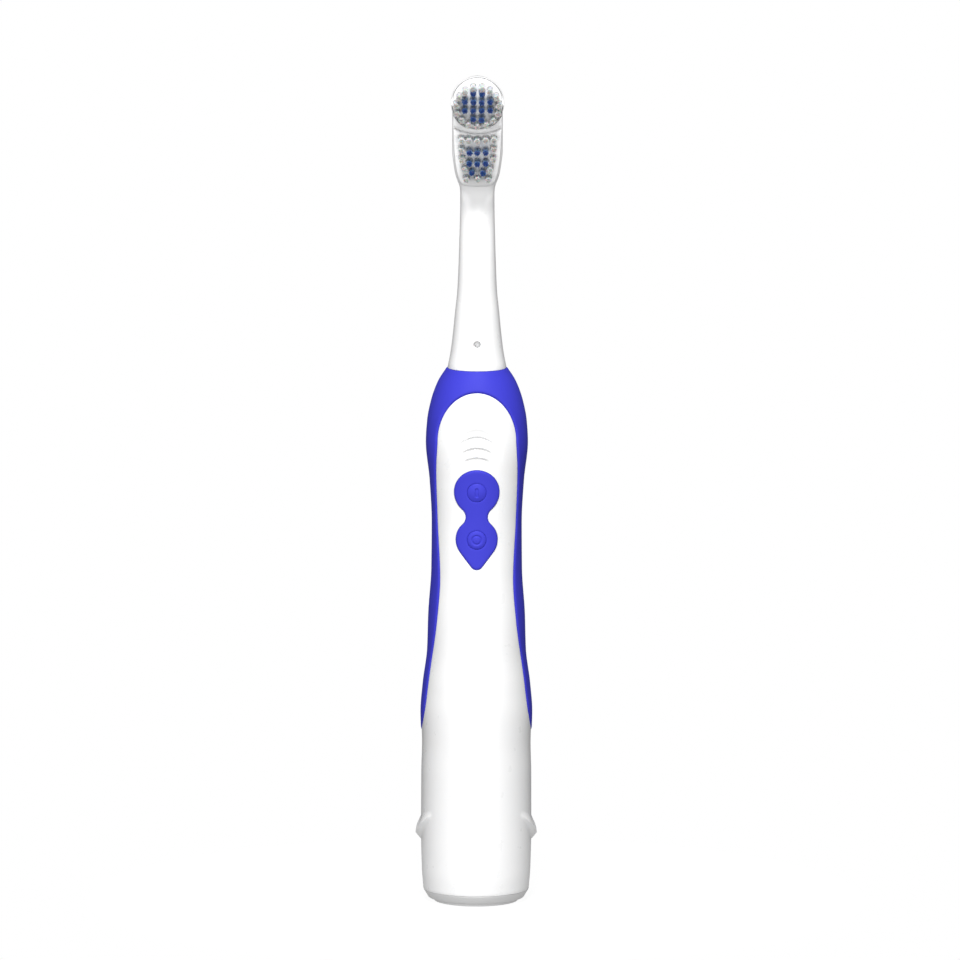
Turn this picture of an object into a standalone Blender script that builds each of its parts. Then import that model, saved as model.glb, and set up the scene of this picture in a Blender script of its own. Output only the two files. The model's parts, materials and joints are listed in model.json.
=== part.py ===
"""A battery toothbrush: two AA cells, a small motor and a push rod that drives the brush head.

The brush stands upright on its base cap. +Z is up, the bristles and the buttons face -Y, and the
origin is the centre of the foot. Numbers are millimetres and are scaled to metres as each mesh
is made.
"""
import math

import bmesh
import bpy
from mathutils import Matrix, Vector

MM = 0.001
GAP = 0.3                     # clearance kept between neighbouring pieces
SIDES = 24                    # facets around the handle and the neck
ROUND = 16                    # facets around small turned pieces

# Handle: height, half width (X) and half depth (Y) of its oval sections.
HANDLE_BOTTOM = 3.4
HANDLE_TOP = 151.9
LEVEL_STEP = 9.9              # spacing of the sections that every skin of the handle shares
HANDLE = (
    (3.4, 14.9, 16.0),
    (9.0, 15.35, 16.6),
    (20.0, 15.6, 16.8),
    (37.0, 15.55, 16.8),
    (45.0, 15.35, 16.7),
    (54.0, 15.6, 16.7),
    (62.0, 15.0, 16.2),
    (72.0, 13.75, 14.9),
    (82.0, 13.45, 13.9),
    (95.0, 12.6, 12.9),
    (108.0, 12.5, 12.4),
    (120.0, 13.1, 12.7),
    (131.0, 14.2, 13.1),
    (137.0, 13.85, 12.6),
    (142.5, 12.8, 11.5),
    (148.0, 10.85, 9.8),
    (151.9, 8.4, 8.3),
)
THIN_WALL = 1.4               # battery tube
THICK_WALL = 2.1              # where the grip is let into the wall
WALL_CHANGE = (37.0, 43.0)    # heights between which the wall thickens
CAVITY_TOP = 145.0

# Rubber grip, let into the handle around its white front panel.
GRIP_DEPTH = 0.8
GRIP_PROUD = 0.15
GRIP_SIDE_END = 49.5
GRIP_BACK_END = 44.0
PANEL_APEX = 146.1
PANEL_SHOULDER = 132.0
PANEL_HALF_WIDTH = 11.2
PANEL_BACK = 0.7              # how far past the middle plane the panel reaches at the sides
PANEL_SIDE = (                # height and half width of the panel below its shoulder
    (40.0, 18.2),
    (49.5, 15.7),
    (57.0, 14.7),
    (64.0, 13.7),
    (81.0, 11.25),
    (93.0, 10.4),
    (109.0, 11.1),
    (124.0, 11.55),
    (132.0, 11.2),
)

# Button pad: an upper circle, a lower teardrop and the fillets of the waist between them.
PAD_UPPER_Z = 118.1
PAD_UPPER_R = 6.35
PAD_LOWER_Z = 104.6
PAD_LOWER_R = 5.85
PAD_WAIST_R = 2.76
PAD_TIP_R = 2.0
PAD_TIP_Z = 95.9
PAD_PROUD = 0.3
PAD_FLANGE = 1.0
BUTTON_R = 2.7
BUTTON_Z = {"on_button": PAD_UPPER_Z, "off_button": PAD_LOWER_Z}

# Side lugs near the base.
LUG_Z = 19.3
LUG_REACH = 1.5
LUG_SWEEP = 36.0              # degrees to each side of the handle's side
LUG_RISE = 6.5

# Base cap.
FOOT_R = 11.9
FOOT_HOLLOW_R = 9.5
CAP_TOP = 3.1
SPIGOT_R = 13.0
SPIGOT_TOP = 7.0
RING_Z = 5.3
RING_MAJOR = 12.7
RING_MINOR = 0.55

# Two AA cells, one behind the other.
CELL_R = 7.0
CELL_Y = 7.2
CELL_BOTTOM = 10.5
CELL_LENGTH = 50.5
NUB_R = 2.7
NUB_HEIGHT = 1.2

# Motor, pinion and crown gear.
MOTOR_Z = (68.5, 93.5)
MOTOR_R = 9.8
MOTOR_HALF_DEPTH = 7.5
CAN_WALL = 0.8
MOTOR_SHAFT_R = 1.0
ARMATURE_R = 5.9
MODULE = 0.5
PINION_TEETH = 9
CROWN_TEETH = 27
CROWN_Z = 106.0
PINION_Z = (97.6, 101.0)
SHAFT_INSET = 0.1             # how far the motor shaft stops below the pinion's top
CRANK_THROW = 0.8
CRANK_R = 1.0
AXLE_R = 0.9

# Drive shaft and nozzle.
SHAFT_R = 1.25
SHAFT_TOP = 177.0
NOZZLE_R = 4.6
NOZZLE_TOP = 168.0

# Neck: height, half width, half depth and the Y offset of its sections.
NECK = (
    (152.2, 8.3, 8.2, 0.0),
    (156.6, 7.45, 7.3, 0.0),
    (162.3, 6.75, 6.6, 0.0),
    (168.0, 6.2, 6.0, 0.0),
    (173.7, 5.6, 5.4, 0.0),
    (180.0, 5.3, 5.0, 0.0),
    (188.0, 5.05, 4.4, 0.1),
    (196.0, 4.85, 3.6, 0.5),
    (202.5, 4.78, 2.9, 0.95),
    (207.0, 4.8, 2.75, 0.95),
)
DRAIN_Z = 159.3
DRAIN_R = 0.95

# Brush head.
HEAD_FRONT = -2.0
HEAD_BACK = 3.6
HEAD_HALF_WIDTH = 7.1
DISC_Z = 227.5
DISC_R = 7.5
BRUSH_BACK = -2.3
BRUSH_FRONT = -4.5
DISC_PIN_X = 2.75
PIVOT_R = 0.7
TUFT_R = 0.85
TUFT_TIP = -13.0
TUFT_ROOT = -4.2
RING_TUFTS = 15
RING_TUFT_R = 5.95
DISC_BLUE = [(x, z) for x in (-1.18, 1.18) for z in (-3.6, -1.2, 1.2, 3.6)]
DISC_BLUE += [(x, z) for x in (-3.54, 3.54) for z in (-1.2, 1.2)]
PLATE_BLUE = [(x, z) for z in (214.65, 211.6) for x in (-2.2, 0.0, 2.2)]
PLATE_BLUE += [(-1.5, 208.9), (1.5, 208.9)]
PLATE_WHITE = [(-4.55, 217.9), (-2.35, 217.8), (0.0, 217.6), (2.35, 217.8), (4.55, 217.9)]
PLATE_WHITE += [(s * x, z) for s in (-1, 1) for x, z in ((4.5, 215.1), (4.4, 212.4), (3.55, 209.5))]
PLATE_WHITE += [(-3.1, 206.9), (0.0, 206.8), (3.1, 206.9)]

# Colour, roughness and metallic value of each material.
MATERIALS = {
    "white_abs": ((0.86, 0.86, 0.86), 0.35, 0.0),
    "blue_tpe": ((0.09, 0.09, 0.62), 0.5, 0.0),
    "white_nylon": ((0.82, 0.82, 0.82), 0.5, 0.0),
    "white_bristle": ((0.85, 0.85, 0.86), 0.3, 0.0),
    "blue_bristle": ((0.03, 0.10, 0.42), 0.3, 0.0),
    "grey_plastic": ((0.25, 0.25, 0.26), 0.5, 0.0),
    "black_rubber": ((0.03, 0.03, 0.03), 0.7, 0.0),
    "steel": ((0.60, 0.60, 0.60), 0.3, 1.0),
    "copper": ((0.72, 0.36, 0.20), 0.35, 1.0),
    "brass": ((0.75, 0.60, 0.30), 0.35, 1.0),
    "ferrite": ((0.10, 0.10, 0.10), 0.6, 0.0),
    "cell_label": ((0.15, 0.16, 0.17), 0.35, 0.0),
}


# ---------------------------------------------------------------- scene and materials

def clear_scene():
    for item in list(bpy.data.objects):
        bpy.data.objects.remove(item, do_unlink=True)


def make_material(name):
    color, roughness, metallic = MATERIALS[name]
    material = bpy.data.materials.new(name)
    material.use_nodes = True
    shader = material.node_tree.nodes["Principled BSDF"]
    shader.inputs["Base Color"].default_value = (*color, 1.0)
    shader.inputs["Roughness"].default_value = roughness
    shader.inputs["Metallic"].default_value = metallic
    return material


def make_collection(name):
    collection = bpy.data.collections.new(name)
    bpy.context.scene.collection.children.link(collection)
    return collection


clear_scene()
PARTS = make_collection("battery_toothbrush")
CUTTERS = make_collection("cutters")
SLOTS = {name: make_material(name) for name in MATERIALS}


def add_object(name, mesh, material=None):
    """Link a mesh: a part if it has a material, otherwise a cutter."""
    item = bpy.data.objects.new(name, mesh)
    if material:
        mesh.materials.append(SLOTS[material])
        PARTS.objects.link(item)
    else:
        CUTTERS.objects.link(item)
        item.hide_render = True
        item.display_type = "WIRE"
    return item


def keep_as_part(item, material):
    """Move a body that was modelled as a cutter in with the parts."""
    CUTTERS.objects.unlink(item)
    PARTS.objects.link(item)
    item.hide_render = False
    item.display_type = "TEXTURED"
    item.data.materials.append(SLOTS[material])


def finish_mesh(bm, name, material):
    bmesh.ops.recalc_face_normals(bm, faces=bm.faces)
    mesh = bpy.data.meshes.new(name)
    bm.to_mesh(mesh)
    bm.free()
    mesh.shade_smooth()
    mesh.set_sharp_from_angle(angle=math.radians(40))
    return add_object(name, mesh, material)


def boolean(item, other, operation):
    step = item.modifiers.new(other.name, "BOOLEAN")
    step.operation = operation
    step.object = other
    step.solver = "EXACT"


def cut(item, *cutters):
    for cutter in cutters:
        boolean(item, cutter, "DIFFERENCE")
    return item


def join(item, *others):
    for other in others:
        boolean(item, other, "UNION")
    return item


# ---------------------------------------------------------------- shapes

def box(name, x, y, z, material=None):
    """A box between pairs of X, Y and Z limits."""
    bm = bmesh.new()
    bmesh.ops.create_cube(bm, size=1.0)
    size = [(high - low) * MM for low, high in (x, y, z)]
    middle = [(high + low) / 2 * MM for low, high in (x, y, z)]
    bmesh.ops.scale(bm, vec=size, verts=bm.verts)
    bmesh.ops.translate(bm, vec=middle, verts=bm.verts)
    return finish_mesh(bm, name, material)


def rod(name, radius, start, end, material=None, sides=ROUND):
    """A cylinder from one point to another, along X, Y or Z."""
    along = Vector(end) - Vector(start)
    bm = bmesh.new()
    bmesh.ops.create_cone(
        bm, cap_ends=True, segments=sides, radius1=radius * MM, radius2=radius * MM,
        depth=along.length * MM)
    turn = along.to_track_quat("Z", "Y").to_matrix().to_4x4()
    middle = (Vector(start) + Vector(end)) / 2 * MM
    bmesh.ops.transform(bm, matrix=Matrix.Translation(middle) @ turn, verts=bm.verts)
    return finish_mesh(bm, name, material)


def turned(name, profile, material=None, sides=ROUND, place=(0, 0), closed=False):
    """A profile of (radius, height) points, listed top to bottom, turned about Z by a Screw."""
    mesh = bpy.data.meshes.new(name)
    points = [(radius * MM, 0, height * MM) for radius, height in profile]
    edges = [(i, i + 1) for i in range(len(points) - 1)]
    if closed:
        edges.append((len(points) - 1, 0))
    mesh.from_pydata(points, edges, [])
    item = add_object(name, mesh, material)
    item.location = (place[0] * MM, place[1] * MM, 0)
    screw = item.modifiers.new("turn", "SCREW")
    screw.steps = sides
    screw.render_steps = sides
    screw.use_merge_vertices = True
    screw.merge_threshold = 0.00001
    screw.use_smooth_shade = True
    return item


def loft(name, rings, material=None, closed=False):
    """A skin over rings of matching points, capped at both ends unless it closes on itself."""
    bm = bmesh.new()
    rows = [[bm.verts.new(Vector(point) * MM) for point in ring] for ring in rings]
    pairs = list(zip(rows, rows[1:]))
    if closed:
        pairs.append((rows[-1], rows[0]))
    else:
        bm.faces.new(rows[0])
        bm.faces.new(rows[-1])
    for low, high in pairs:
        count = len(low)
        for i in range(count):
            j = (i + 1) % count
            bm.faces.new((low[i], low[j], high[j], high[i]))
    return finish_mesh(bm, name, material)


def slab(name, outline, y, material=None):
    """A flat (x, z) outline extruded between two Y limits, from a filled 2D curve."""
    curve = bpy.data.curves.new(name, "CURVE")
    curve.dimensions = "2D"
    curve.fill_mode = "BOTH"
    curve.extrude = (y[1] - y[0]) / 2 * MM
    spline = curve.splines.new("POLY")
    spline.points.add(len(outline) - 1)
    spline.use_cyclic_u = True
    for point, (x, z) in zip(spline.points, outline):
        point.co = (x * MM, z * MM, 0, 1)
    guide = bpy.data.objects.new(name + "_curve", curve)
    CUTTERS.objects.link(guide)
    stand_up = Matrix.Rotation(math.radians(90), 4, "X")
    move = Matrix.Translation((0, (y[0] + y[1]) / 2 * MM, 0))
    return mesh_of_curve(guide, name, material, move @ stand_up)


def mesh_of_curve(guide, name, material, matrix):
    """Turn a curve object into a closed mesh object, and remove the curve."""
    graph = bpy.context.evaluated_depsgraph_get()
    flat = bpy.data.meshes.new_from_object(guide.evaluated_get(graph))
    bm = bmesh.new()
    bm.from_mesh(flat)
    bmesh.ops.remove_doubles(bm, verts=bm.verts, dist=0.000001)
    bmesh.ops.transform(bm, matrix=matrix, verts=bm.verts)
    bpy.data.objects.remove(guide, do_unlink=True)
    bpy.data.meshes.remove(flat)
    return finish_mesh(bm, name, material)


def coil(name, place, radii, heights, turns, wire, material):
    """A compression spring: a wire along a helix whose radius may taper."""
    steps = turns * 10
    curve = bpy.data.curves.new(name, "CURVE")
    curve.dimensions = "3D"
    curve.bevel_depth = wire * MM
    curve.bevel_resolution = 2
    curve.use_fill_caps = True
    spline = curve.splines.new("POLY")
    spline.points.add(steps)
    for i, point in enumerate(spline.points):
        along = i / steps
        angle = along * turns * math.tau
        radius = radii[0] + (radii[1] - radii[0]) * along
        height = heights[0] + (heights[1] - heights[0]) * along
        x = place[0] + radius * math.cos(angle)
        y = place[1] + radius * math.sin(angle)
        point.co = (x * MM, y * MM, height * MM, 1)
    guide = bpy.data.objects.new(name + "_curve", curve)
    CUTTERS.objects.link(guide)
    return mesh_of_curve(guide, name, material, Matrix.Identity(4))


def along_stations(stations, height):
    """Values at a height, from a smooth curve through a table of (height, values...) rows."""
    height = min(max(height, stations[0][0]), stations[-1][0])
    index = max(i for i in range(len(stations) - 1) if stations[i][0] <= height)
    low, high = stations[index], stations[index + 1]
    span = high[0] - low[0]
    t = (height - low[0]) / span
    before = stations[max(index - 1, 0)]
    after = stations[min(index + 2, len(stations) - 1)]
    values = []
    for k in range(1, len(low)):
        step = (high[k] - low[k]) / span
        slope_low = limited_slope(before, low, high, k)
        slope_high = limited_slope(low, high, after, k)
        value = low[k] + span * (
            slope_low * (t - 2 * t ** 2 + t ** 3)
            + step * (3 * t ** 2 - 2 * t ** 3)
            + slope_high * (t ** 3 - t ** 2))
        values.append(value)
    return values


def limited_slope(before, here, after, k):
    """Slope at a station: the mean of its two sides, or zero where it is an extreme."""
    if before is here or here is after:
        return (after[k] - before[k]) / (after[0] - before[0])
    left = (here[k] - before[k]) / (here[0] - before[0])
    right = (after[k] - here[k]) / (after[0] - here[0])
    if left * right <= 0:
        return 0.0
    return 2 * left * right / (left + right)


def oval(half_width, half_depth, height, middle_y=0.0, sides=SIDES):
    ring = []
    for i in range(sides):
        angle = math.tau * i / sides
        x = half_width * math.cos(angle)
        y = middle_y + half_depth * math.sin(angle)
        ring.append((x, y, height))
    return ring


def spread(low, high, step):
    """Evenly spaced heights from low to high, about a step apart."""
    count = max(1, round((high - low) / step))
    return [low + (high - low) * i / count for i in range(count + 1)]


def arc(center, radius, start, end, steps):
    """Points on an arc, from one angle to another in degrees."""
    points = []
    for i in range(steps + 1):
        angle = math.radians(start + (end - start) * i / steps)
        points.append((center[0] + radius * math.cos(angle), center[1] + radius * math.sin(angle)))
    return points


def mirrored(right_side):
    """A closed outline from its right side, listed top to bottom."""
    left_side = [(-x, z) for x, z in reversed(right_side) if x > 0.001]
    return right_side + left_side


# ---------------------------------------------------------------- handle

def handle_section(height):
    """Half width and half depth, straight between shared heights so that all skins match."""
    levels = spread(HANDLE_BOTTOM, HANDLE_TOP, LEVEL_STEP)
    above = next((i for i, level in enumerate(levels) if level >= height), len(levels) - 1)
    below = max(above - 1, 0)
    high, low = along_stations(HANDLE, levels[above]), along_stations(HANDLE, levels[below])
    if above == below or height > levels[above]:
        return high
    part = (height - levels[below]) / (levels[above] - levels[below])
    return [a + (b - a) * part for a, b in zip(low, high)]


def handle_skin(name, inset, low, high):
    """The handle's outer form, moved inwards by an inset that may depend on height."""
    levels = [z for z in spread(HANDLE_BOTTOM, HANDLE_TOP, LEVEL_STEP) if low + 0.01 < z < high - 0.01]
    rings = []
    for height in [low] + levels + [high]:
        half_width, half_depth = handle_section(height)
        shrink = inset(height) if callable(inset) else inset
        rings.append(oval(half_width - shrink, half_depth - shrink, height))
    return loft(name, rings)


def wall_at(height):
    low, high = WALL_CHANGE
    part = min(max((height - low) / (high - low), 0.0), 1.0)
    return THIN_WALL + (THICK_WALL - THIN_WALL) * part


def panel_outline(grow):
    """The white front panel: an oval top on flowing sides."""
    right = []
    for i in range(7):
        angle = math.radians(90 - 90 * i / 7)
        x = (PANEL_HALF_WIDTH + grow) * math.cos(angle)
        z = PANEL_SHOULDER + (PANEL_APEX - PANEL_SHOULDER + grow) * math.sin(angle)
        right.append((max(x, 0.0), z))
    for height in reversed(spread(40.0, PANEL_SHOULDER, 9.0)):
        right.append((along_stations(PANEL_SIDE, height)[0] + grow, height))
    right.append((PANEL_SIDE[0][1] + grow, 30.0))
    right.append((0.0, 30.0))
    return mirrored(right)


def back_hem_outline(grow):
    """What lies below the grip's lower edge at the back, which dips in a shallow arc."""
    drop = GRIP_SIDE_END - GRIP_BACK_END
    top = []
    for i in range(9):
        x = -18.0 + 4.5 * i
        z = GRIP_BACK_END + drop * min(abs(x) / 15.5, 1.2) ** 2 + grow
        top.append((x, z))
    return top + [(18.0, 30.0), (-18.0, 30.0)]


def make_handle_body():
    body = handle_skin("handle_body", 0.0, HANDLE_BOTTOM, HANDLE_TOP)
    keep_as_part(body, "white_abs")
    join(body, make_lug("lug_right", 1), make_lug("lug_left", -1))
    cut(body, make_grip_pocket())
    cavity = handle_skin("cavity", wall_at, HANDLE_BOTTOM - 1, CAVITY_TOP)
    nozzle_hole = rod("nozzle_hole", NOZZLE_R + GAP, (0, 0, CAVITY_TOP - 1), (0, 0, HANDLE_TOP + 1))
    pad_hole = slab("pad_hole", pad_outline(GAP), (-20, 0))
    cut(body, cavity, nozzle_hole, pad_hole)


def make_grip_pocket():
    """The room for the rubber grip: a ring around the handle, less the panel and the hem."""
    pocket = handle_skin("grip_pocket", -3.0, 36.0, HANDLE_TOP + 1)
    core = handle_skin("pocket_core", GRIP_DEPTH + GAP, 35.0, HANDLE_TOP + 2)
    panel = slab("pocket_panel", panel_outline(-GAP), (-25, PANEL_BACK - GAP))
    hem = slab("pocket_hem", back_hem_outline(-GAP), (GAP - PANEL_BACK, 25))
    return cut(pocket, core, panel, hem)


def make_lug(name, side):
    """A chevron lug on the handle's side: lowest in the middle, fading out to both ends."""
    rings = []
    for i in range(9):
        share = i / 4 - 1
        angle = math.radians(LUG_SWEEP * share)
        height = LUG_Z + LUG_RISE * abs(share)
        fade = 1 - abs(share) ** 2
        half_width, half_depth = along_stations(HANDLE, height)
        section = (
            (-0.8, height + 1.0 + 2.6 * fade),
            (-0.2 + (LUG_REACH + 0.2) * fade, height),
            (-0.8, height - 0.8 - 1.2 * fade),
        )
        ring = []
        for reach, level in section:
            x = side * (half_width + reach) * math.cos(angle)
            y = (half_depth + reach) * math.sin(angle)
            ring.append((x, y, level))
        rings.append(ring)
    return loft(name, rings)


def make_grip_overmold():
    grip = handle_skin("grip_overmold", -GRIP_PROUD, GRIP_BACK_END, HANDLE_TOP)
    keep_as_part(grip, "blue_tpe")
    core = handle_skin("grip_core", GRIP_DEPTH, GRIP_BACK_END - 1, HANDLE_TOP + 1)
    panel = slab("grip_panel", panel_outline(0.0), (-25, PANEL_BACK))
    hem = slab("grip_hem", back_hem_outline(0.0), (-PANEL_BACK, 25))
    cut(grip, core, panel, hem)


def pad_outline(grow):
    """The pad's outline: circle, waist fillets and a teardrop with a round tip."""
    upper = (0.0, PAD_UPPER_Z)
    lower = (0.0, PAD_LOWER_Z)
    tip = (0.0, PAD_TIP_Z + PAD_TIP_R)
    reach_upper = PAD_UPPER_R + PAD_WAIST_R
    reach_lower = PAD_LOWER_R + PAD_WAIST_R
    between = PAD_UPPER_Z - PAD_LOWER_Z
    drop = (reach_upper ** 2 - reach_lower ** 2 + between ** 2) / (2 * between)
    fillet = (math.sqrt(reach_upper ** 2 - drop ** 2), PAD_UPPER_Z - drop)
    to_upper = math.degrees(math.atan2(drop, fillet[0]))
    to_lower = math.degrees(math.atan2(PAD_LOWER_Z - fillet[1], fillet[0]))
    taper = -math.degrees(math.asin((PAD_LOWER_R - PAD_TIP_R) / (lower[1] - tip[1])))
    right = arc(upper, PAD_UPPER_R + grow, 90, -to_upper, 6)
    right += arc(fillet, PAD_WAIST_R - grow, 180 - to_upper, 180 - to_lower, 3)[1:-1]
    right += arc(lower, PAD_LOWER_R + grow, -to_lower, taper, 4)
    right += arc(tip, PAD_TIP_R + grow, taper, -90, 2)
    right[0] = (0.0, right[0][1])
    right[-1] = (0.0, right[-1][1])
    return mirrored(right)


def make_button_pad():
    """The pad follows the handle's front, with a flange behind the wall and two button holes."""
    pad = slab("button_pad", pad_outline(0.0), (-20, -7.0), "blue_tpe")
    front = handle_skin("pad_front", -PAD_PROUD, 90, 130)
    boolean(pad, front, "INTERSECT")
    flange = slab("pad_flange", pad_outline(PAD_FLANGE), (-20, -7.0))
    behind_wall = handle_skin("pad_behind_wall", THICK_WALL + GAP, 90, 130)
    boolean(flange, behind_wall, "INTERSECT")
    join(pad, flange)
    cut(pad, handle_skin("pad_back", THICK_WALL + GAP + 0.5, 88, 132))
    for name, height in BUTTON_Z.items():
        cut(pad, rod(name + "_hole", BUTTON_R + GAP, (0, -20, height), (0, -5, height)))


def make_buttons():
    """Each button is a domed cap on a stem that reaches for the rocker behind it."""
    for name, height in BUTTON_Z.items():
        profile = [(0.0, 13.35), (1.3, 13.3), (2.2, 13.1), (BUTTON_R, 12.7), (BUTTON_R, 11.3),
                   (1.3, 11.3), (1.3, 9.5), (0.0, 9.5)]
        button = turned(name, profile, "blue_tpe")
        button.rotation_euler = (math.radians(90), 0, 0)
        button.location = (0, 0, height * MM)


# ---------------------------------------------------------------- base cap

def make_base_cap():
    """Foot ring, chamfered rim and a round spigot that carries the sealing ring."""
    rings = [
        oval(FOOT_R, FOOT_R + 0.8, 0.0),
        oval(FOOT_R + 0.2, FOOT_R + 1.0, 0.9),
        oval(13.4, 14.2, 1.0),
        oval(14.75, 15.85, CAP_TOP),
    ]
    cap = loft("base_cap", rings)
    keep_as_part(cap, "white_abs")
    groove = RING_Z + 0.9, RING_Z - 0.9
    groove_r = RING_MAJOR - RING_MINOR - GAP
    spigot = turned("cap_spigot", [
        (0.0, 3.6), (11.0, 3.6), (11.0, SPIGOT_TOP), (SPIGOT_R, SPIGOT_TOP),
        (SPIGOT_R, groove[0]), (groove_r, groove[0]), (groove_r, groove[1]),
        (SPIGOT_R, groove[1]), (SPIGOT_R, CAP_TOP - 0.6), (0.0, CAP_TOP - 0.6)], sides=SIDES)
    hollow = rod("foot_hollow", FOOT_HOLLOW_R, (0, 0, -1), (0, 0, 0.8), sides=SIDES)
    coin_slot = box("coin_slot", (-7.5, 7.5), (-1.1, 1.1), (0, 2.0))
    cut(join(cap, spigot), hollow, coin_slot)


def make_sealing_ring():
    ring = [(RING_MAJOR + RING_MINOR * math.cos(a), RING_Z + RING_MINOR * math.sin(a))
            for a in (math.tau * i / 6 for i in range(6))]
    turned("cap_sealing_ring", list(reversed(ring)), "black_rubber", sides=24, closed=True)


# ---------------------------------------------------------------- power

def make_cells():
    """The front cell stands nub up and the rear cell nub down."""
    top = CELL_BOTTOM + CELL_LENGTH
    nub_up = [(0.0, top), (NUB_R, top), (NUB_R, top - NUB_HEIGHT), (CELL_R - 0.5, top - NUB_HEIGHT),
              (CELL_R, top - NUB_HEIGHT - 0.5), (CELL_R, CELL_BOTTOM + 0.5),
              (CELL_R - 0.5, CELL_BOTTOM), (0.0, CELL_BOTTOM)]
    nub_down = [(radius, top + CELL_BOTTOM - height) for radius, height in reversed(nub_up)]
    turned("front_cell", nub_up, "cell_label", place=(0, -CELL_Y))
    turned("rear_cell", nub_down, "cell_label", place=(0, CELL_Y))


def make_contacts():
    top = CELL_BOTTOM + CELL_LENGTH
    box("bridge_contact", (-3.2, 3.2), (-11.0, 11.0), (SPIGOT_TOP + GAP, SPIGOT_TOP + 0.8), "steel")
    dimple = rod("bridge_dimple", 2.2, (0, CELL_Y, 7.5), (0, CELL_Y, CELL_BOTTOM - GAP))
    join(bpy.data.objects["bridge_contact"], dimple)
    coil("front_cell_spring", (0, -CELL_Y), (4.6, 3.0), (8.5, 9.8), 2, 0.35, "steel")
    coil("rear_cell_spring", (0, CELL_Y), (3.0, 4.6), (61.7, 63.6), 2, 0.35, "steel")
    plus = box("plus_contact", (-3.5, 3.5), (-12.0, -3.6), (top + GAP, top + 0.7), "brass")
    join(plus, box("plus_tab", (-1.5, 1.5), (-12.0, -11.6), (top + GAP, 64.6)))
    box("minus_contact", (-3.5, 3.5), (3.6, 11.0), (64.3, 64.7), "brass")
    box("battery_strip", (4.0, 5.6), (-8.3, -7.9), (67.4, 98.0), "brass")
    box("motor_strip", (-5.6, -4.0), (-8.3, -7.9), (67.4, 98.0), "brass")


# ---------------------------------------------------------------- chassis and switch

def make_chassis():
    """One moulding that carries the contacts, motor, gear axle, shaft guides and switch."""
    chassis = box("chassis", (-3.6, 3.6), (7.9, 9.1), (66.0, 140.5), "grey_plastic")
    bulkhead = loft("bulkhead", [oval(12.0, 13.2, height) for height in (65.0, 67.1)])
    front_rail = box("front_rail", (-3.5, 3.5), (-9.1, -7.9), (66.0, 95.4))
    motor_bridge = box("motor_bridge", (-3.5, 3.5), (-9.1, 8.2), (93.9, 95.4))
    low_guide = box("low_guide", (-3.2, 3.2), (-4.4, 8.2), (119.8, 123.0))
    high_guide = box("high_guide", (-3.2, 3.2), (-3.0, 8.2), (136.6, 140.5))
    deck = box("switch_deck", (-4.6, 4.6), (-5.0, -3.8), (98.5, 126.0))
    axle_boss = rod("axle_boss", 2.4, (0, 6.7, CROWN_Z), (0, 8.2, CROWN_Z))
    ears = [box("ear_%d" % side, tuple(sorted((side * 3.0, side * 4.4))), (-8.3, -4.4), (109.6, 113.0))
            for side in (-1, 1)]
    join(chassis, bulkhead, front_rail, motor_bridge, low_guide, high_guide, deck, axle_boss, *ears)
    cut(chassis,
        rod("motor_bridge_hole", 3.2, (0, 0, 93), (0, 0, 96)),
        rod("guide_hole", SHAFT_R + GAP, (0, 0, 114), (0, 0, 142)),
        rod("axle_hole", AXLE_R + GAP, (0, 6, CROWN_Z), (0, 10, CROWN_Z)),
        rod("rocker_pin_hole", 0.8, (-6, -7.1, 111.3), (6, -7.1, 111.3)))
    rod("gear_axle", AXLE_R, (0, 3.7, CROWN_Z), (0, 9.0, CROWN_Z), "steel")


def make_switch():
    rocker = box("switch_rocker", (-2.6, 2.6), (-7.6, -6.6), (103.2, 119.4), "white_nylon")
    join(rocker, rod("rocker_hub", 1.2, (-2.6, -7.1, 111.3), (2.6, -7.1, 111.3)))
    cut(rocker, rod("rocker_bore", 0.8, (-3, -7.1, 111.3), (3, -7.1, 111.3)))
    rod("rocker_pin", 0.5, (-4.3, -7.1, 111.3), (4.3, -7.1, 111.3), "steel", sides=12)
    box("switch_leaf", (-1.6, 1.6), (-5.7, -5.4), (113.6, 124.5), "brass")


# ---------------------------------------------------------------- motor

def motor_round(name, inset, low, high, material=None):
    """A motor section: a round bar with two flats."""
    radius = MOTOR_R - inset
    flat = MOTOR_HALF_DEPTH - inset
    start = math.degrees(math.asin(flat / radius))
    side = arc((0, 0), radius, -start, start, 8)
    outline = side + [(-x, -y) for x, y in side]
    return loft(name, [[(x, y, height) for x, y in outline] for height in (low, high)], material)


def make_motor_case():
    low, high = MOTOR_Z
    can = motor_round("motor_can", 0.0, low, high, "steel")
    hollow = motor_round("can_hollow", CAN_WALL, low - 1, high - 1.0)
    cut(can, hollow, rod("can_hole", 1.6, (0, 0, high - 2), (0, 0, high + 1)))
    end_cap = motor_round("motor_end_cap", 0.1, low - 1.0, low - GAP, "white_nylon")
    plug = motor_round("end_cap_plug", CAN_WALL + GAP, low - 0.5, low + 1.5)
    cut(join(end_cap, plug), rod("end_cap_hole", MOTOR_SHAFT_R + GAP, (0, 0, low - 2), (0, 0, low + 3)))
    for name, side in (("motor_magnet_left", 180), ("motor_magnet_right", 0)):
        inner = arc((0, 0), ARMATURE_R + 0.5, side - 42, side + 42, 8)
        outer = arc((0, 0), MOTOR_R - CAN_WALL - GAP, side + 42, side - 42, 8)
        outline = inner + outer
        loft(name, [[(x, y, z) for x, y in outline] for z in (low + 4, high - 3)], "ferrite")
    for name, side in (("motor_brush_left", -1), ("motor_brush_right", 1)):
        box(name, tuple(sorted((side * 2.5, side * 8.4))), (-0.5, 0.5), (low + 2.4, low + 3.4), "copper")


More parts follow.
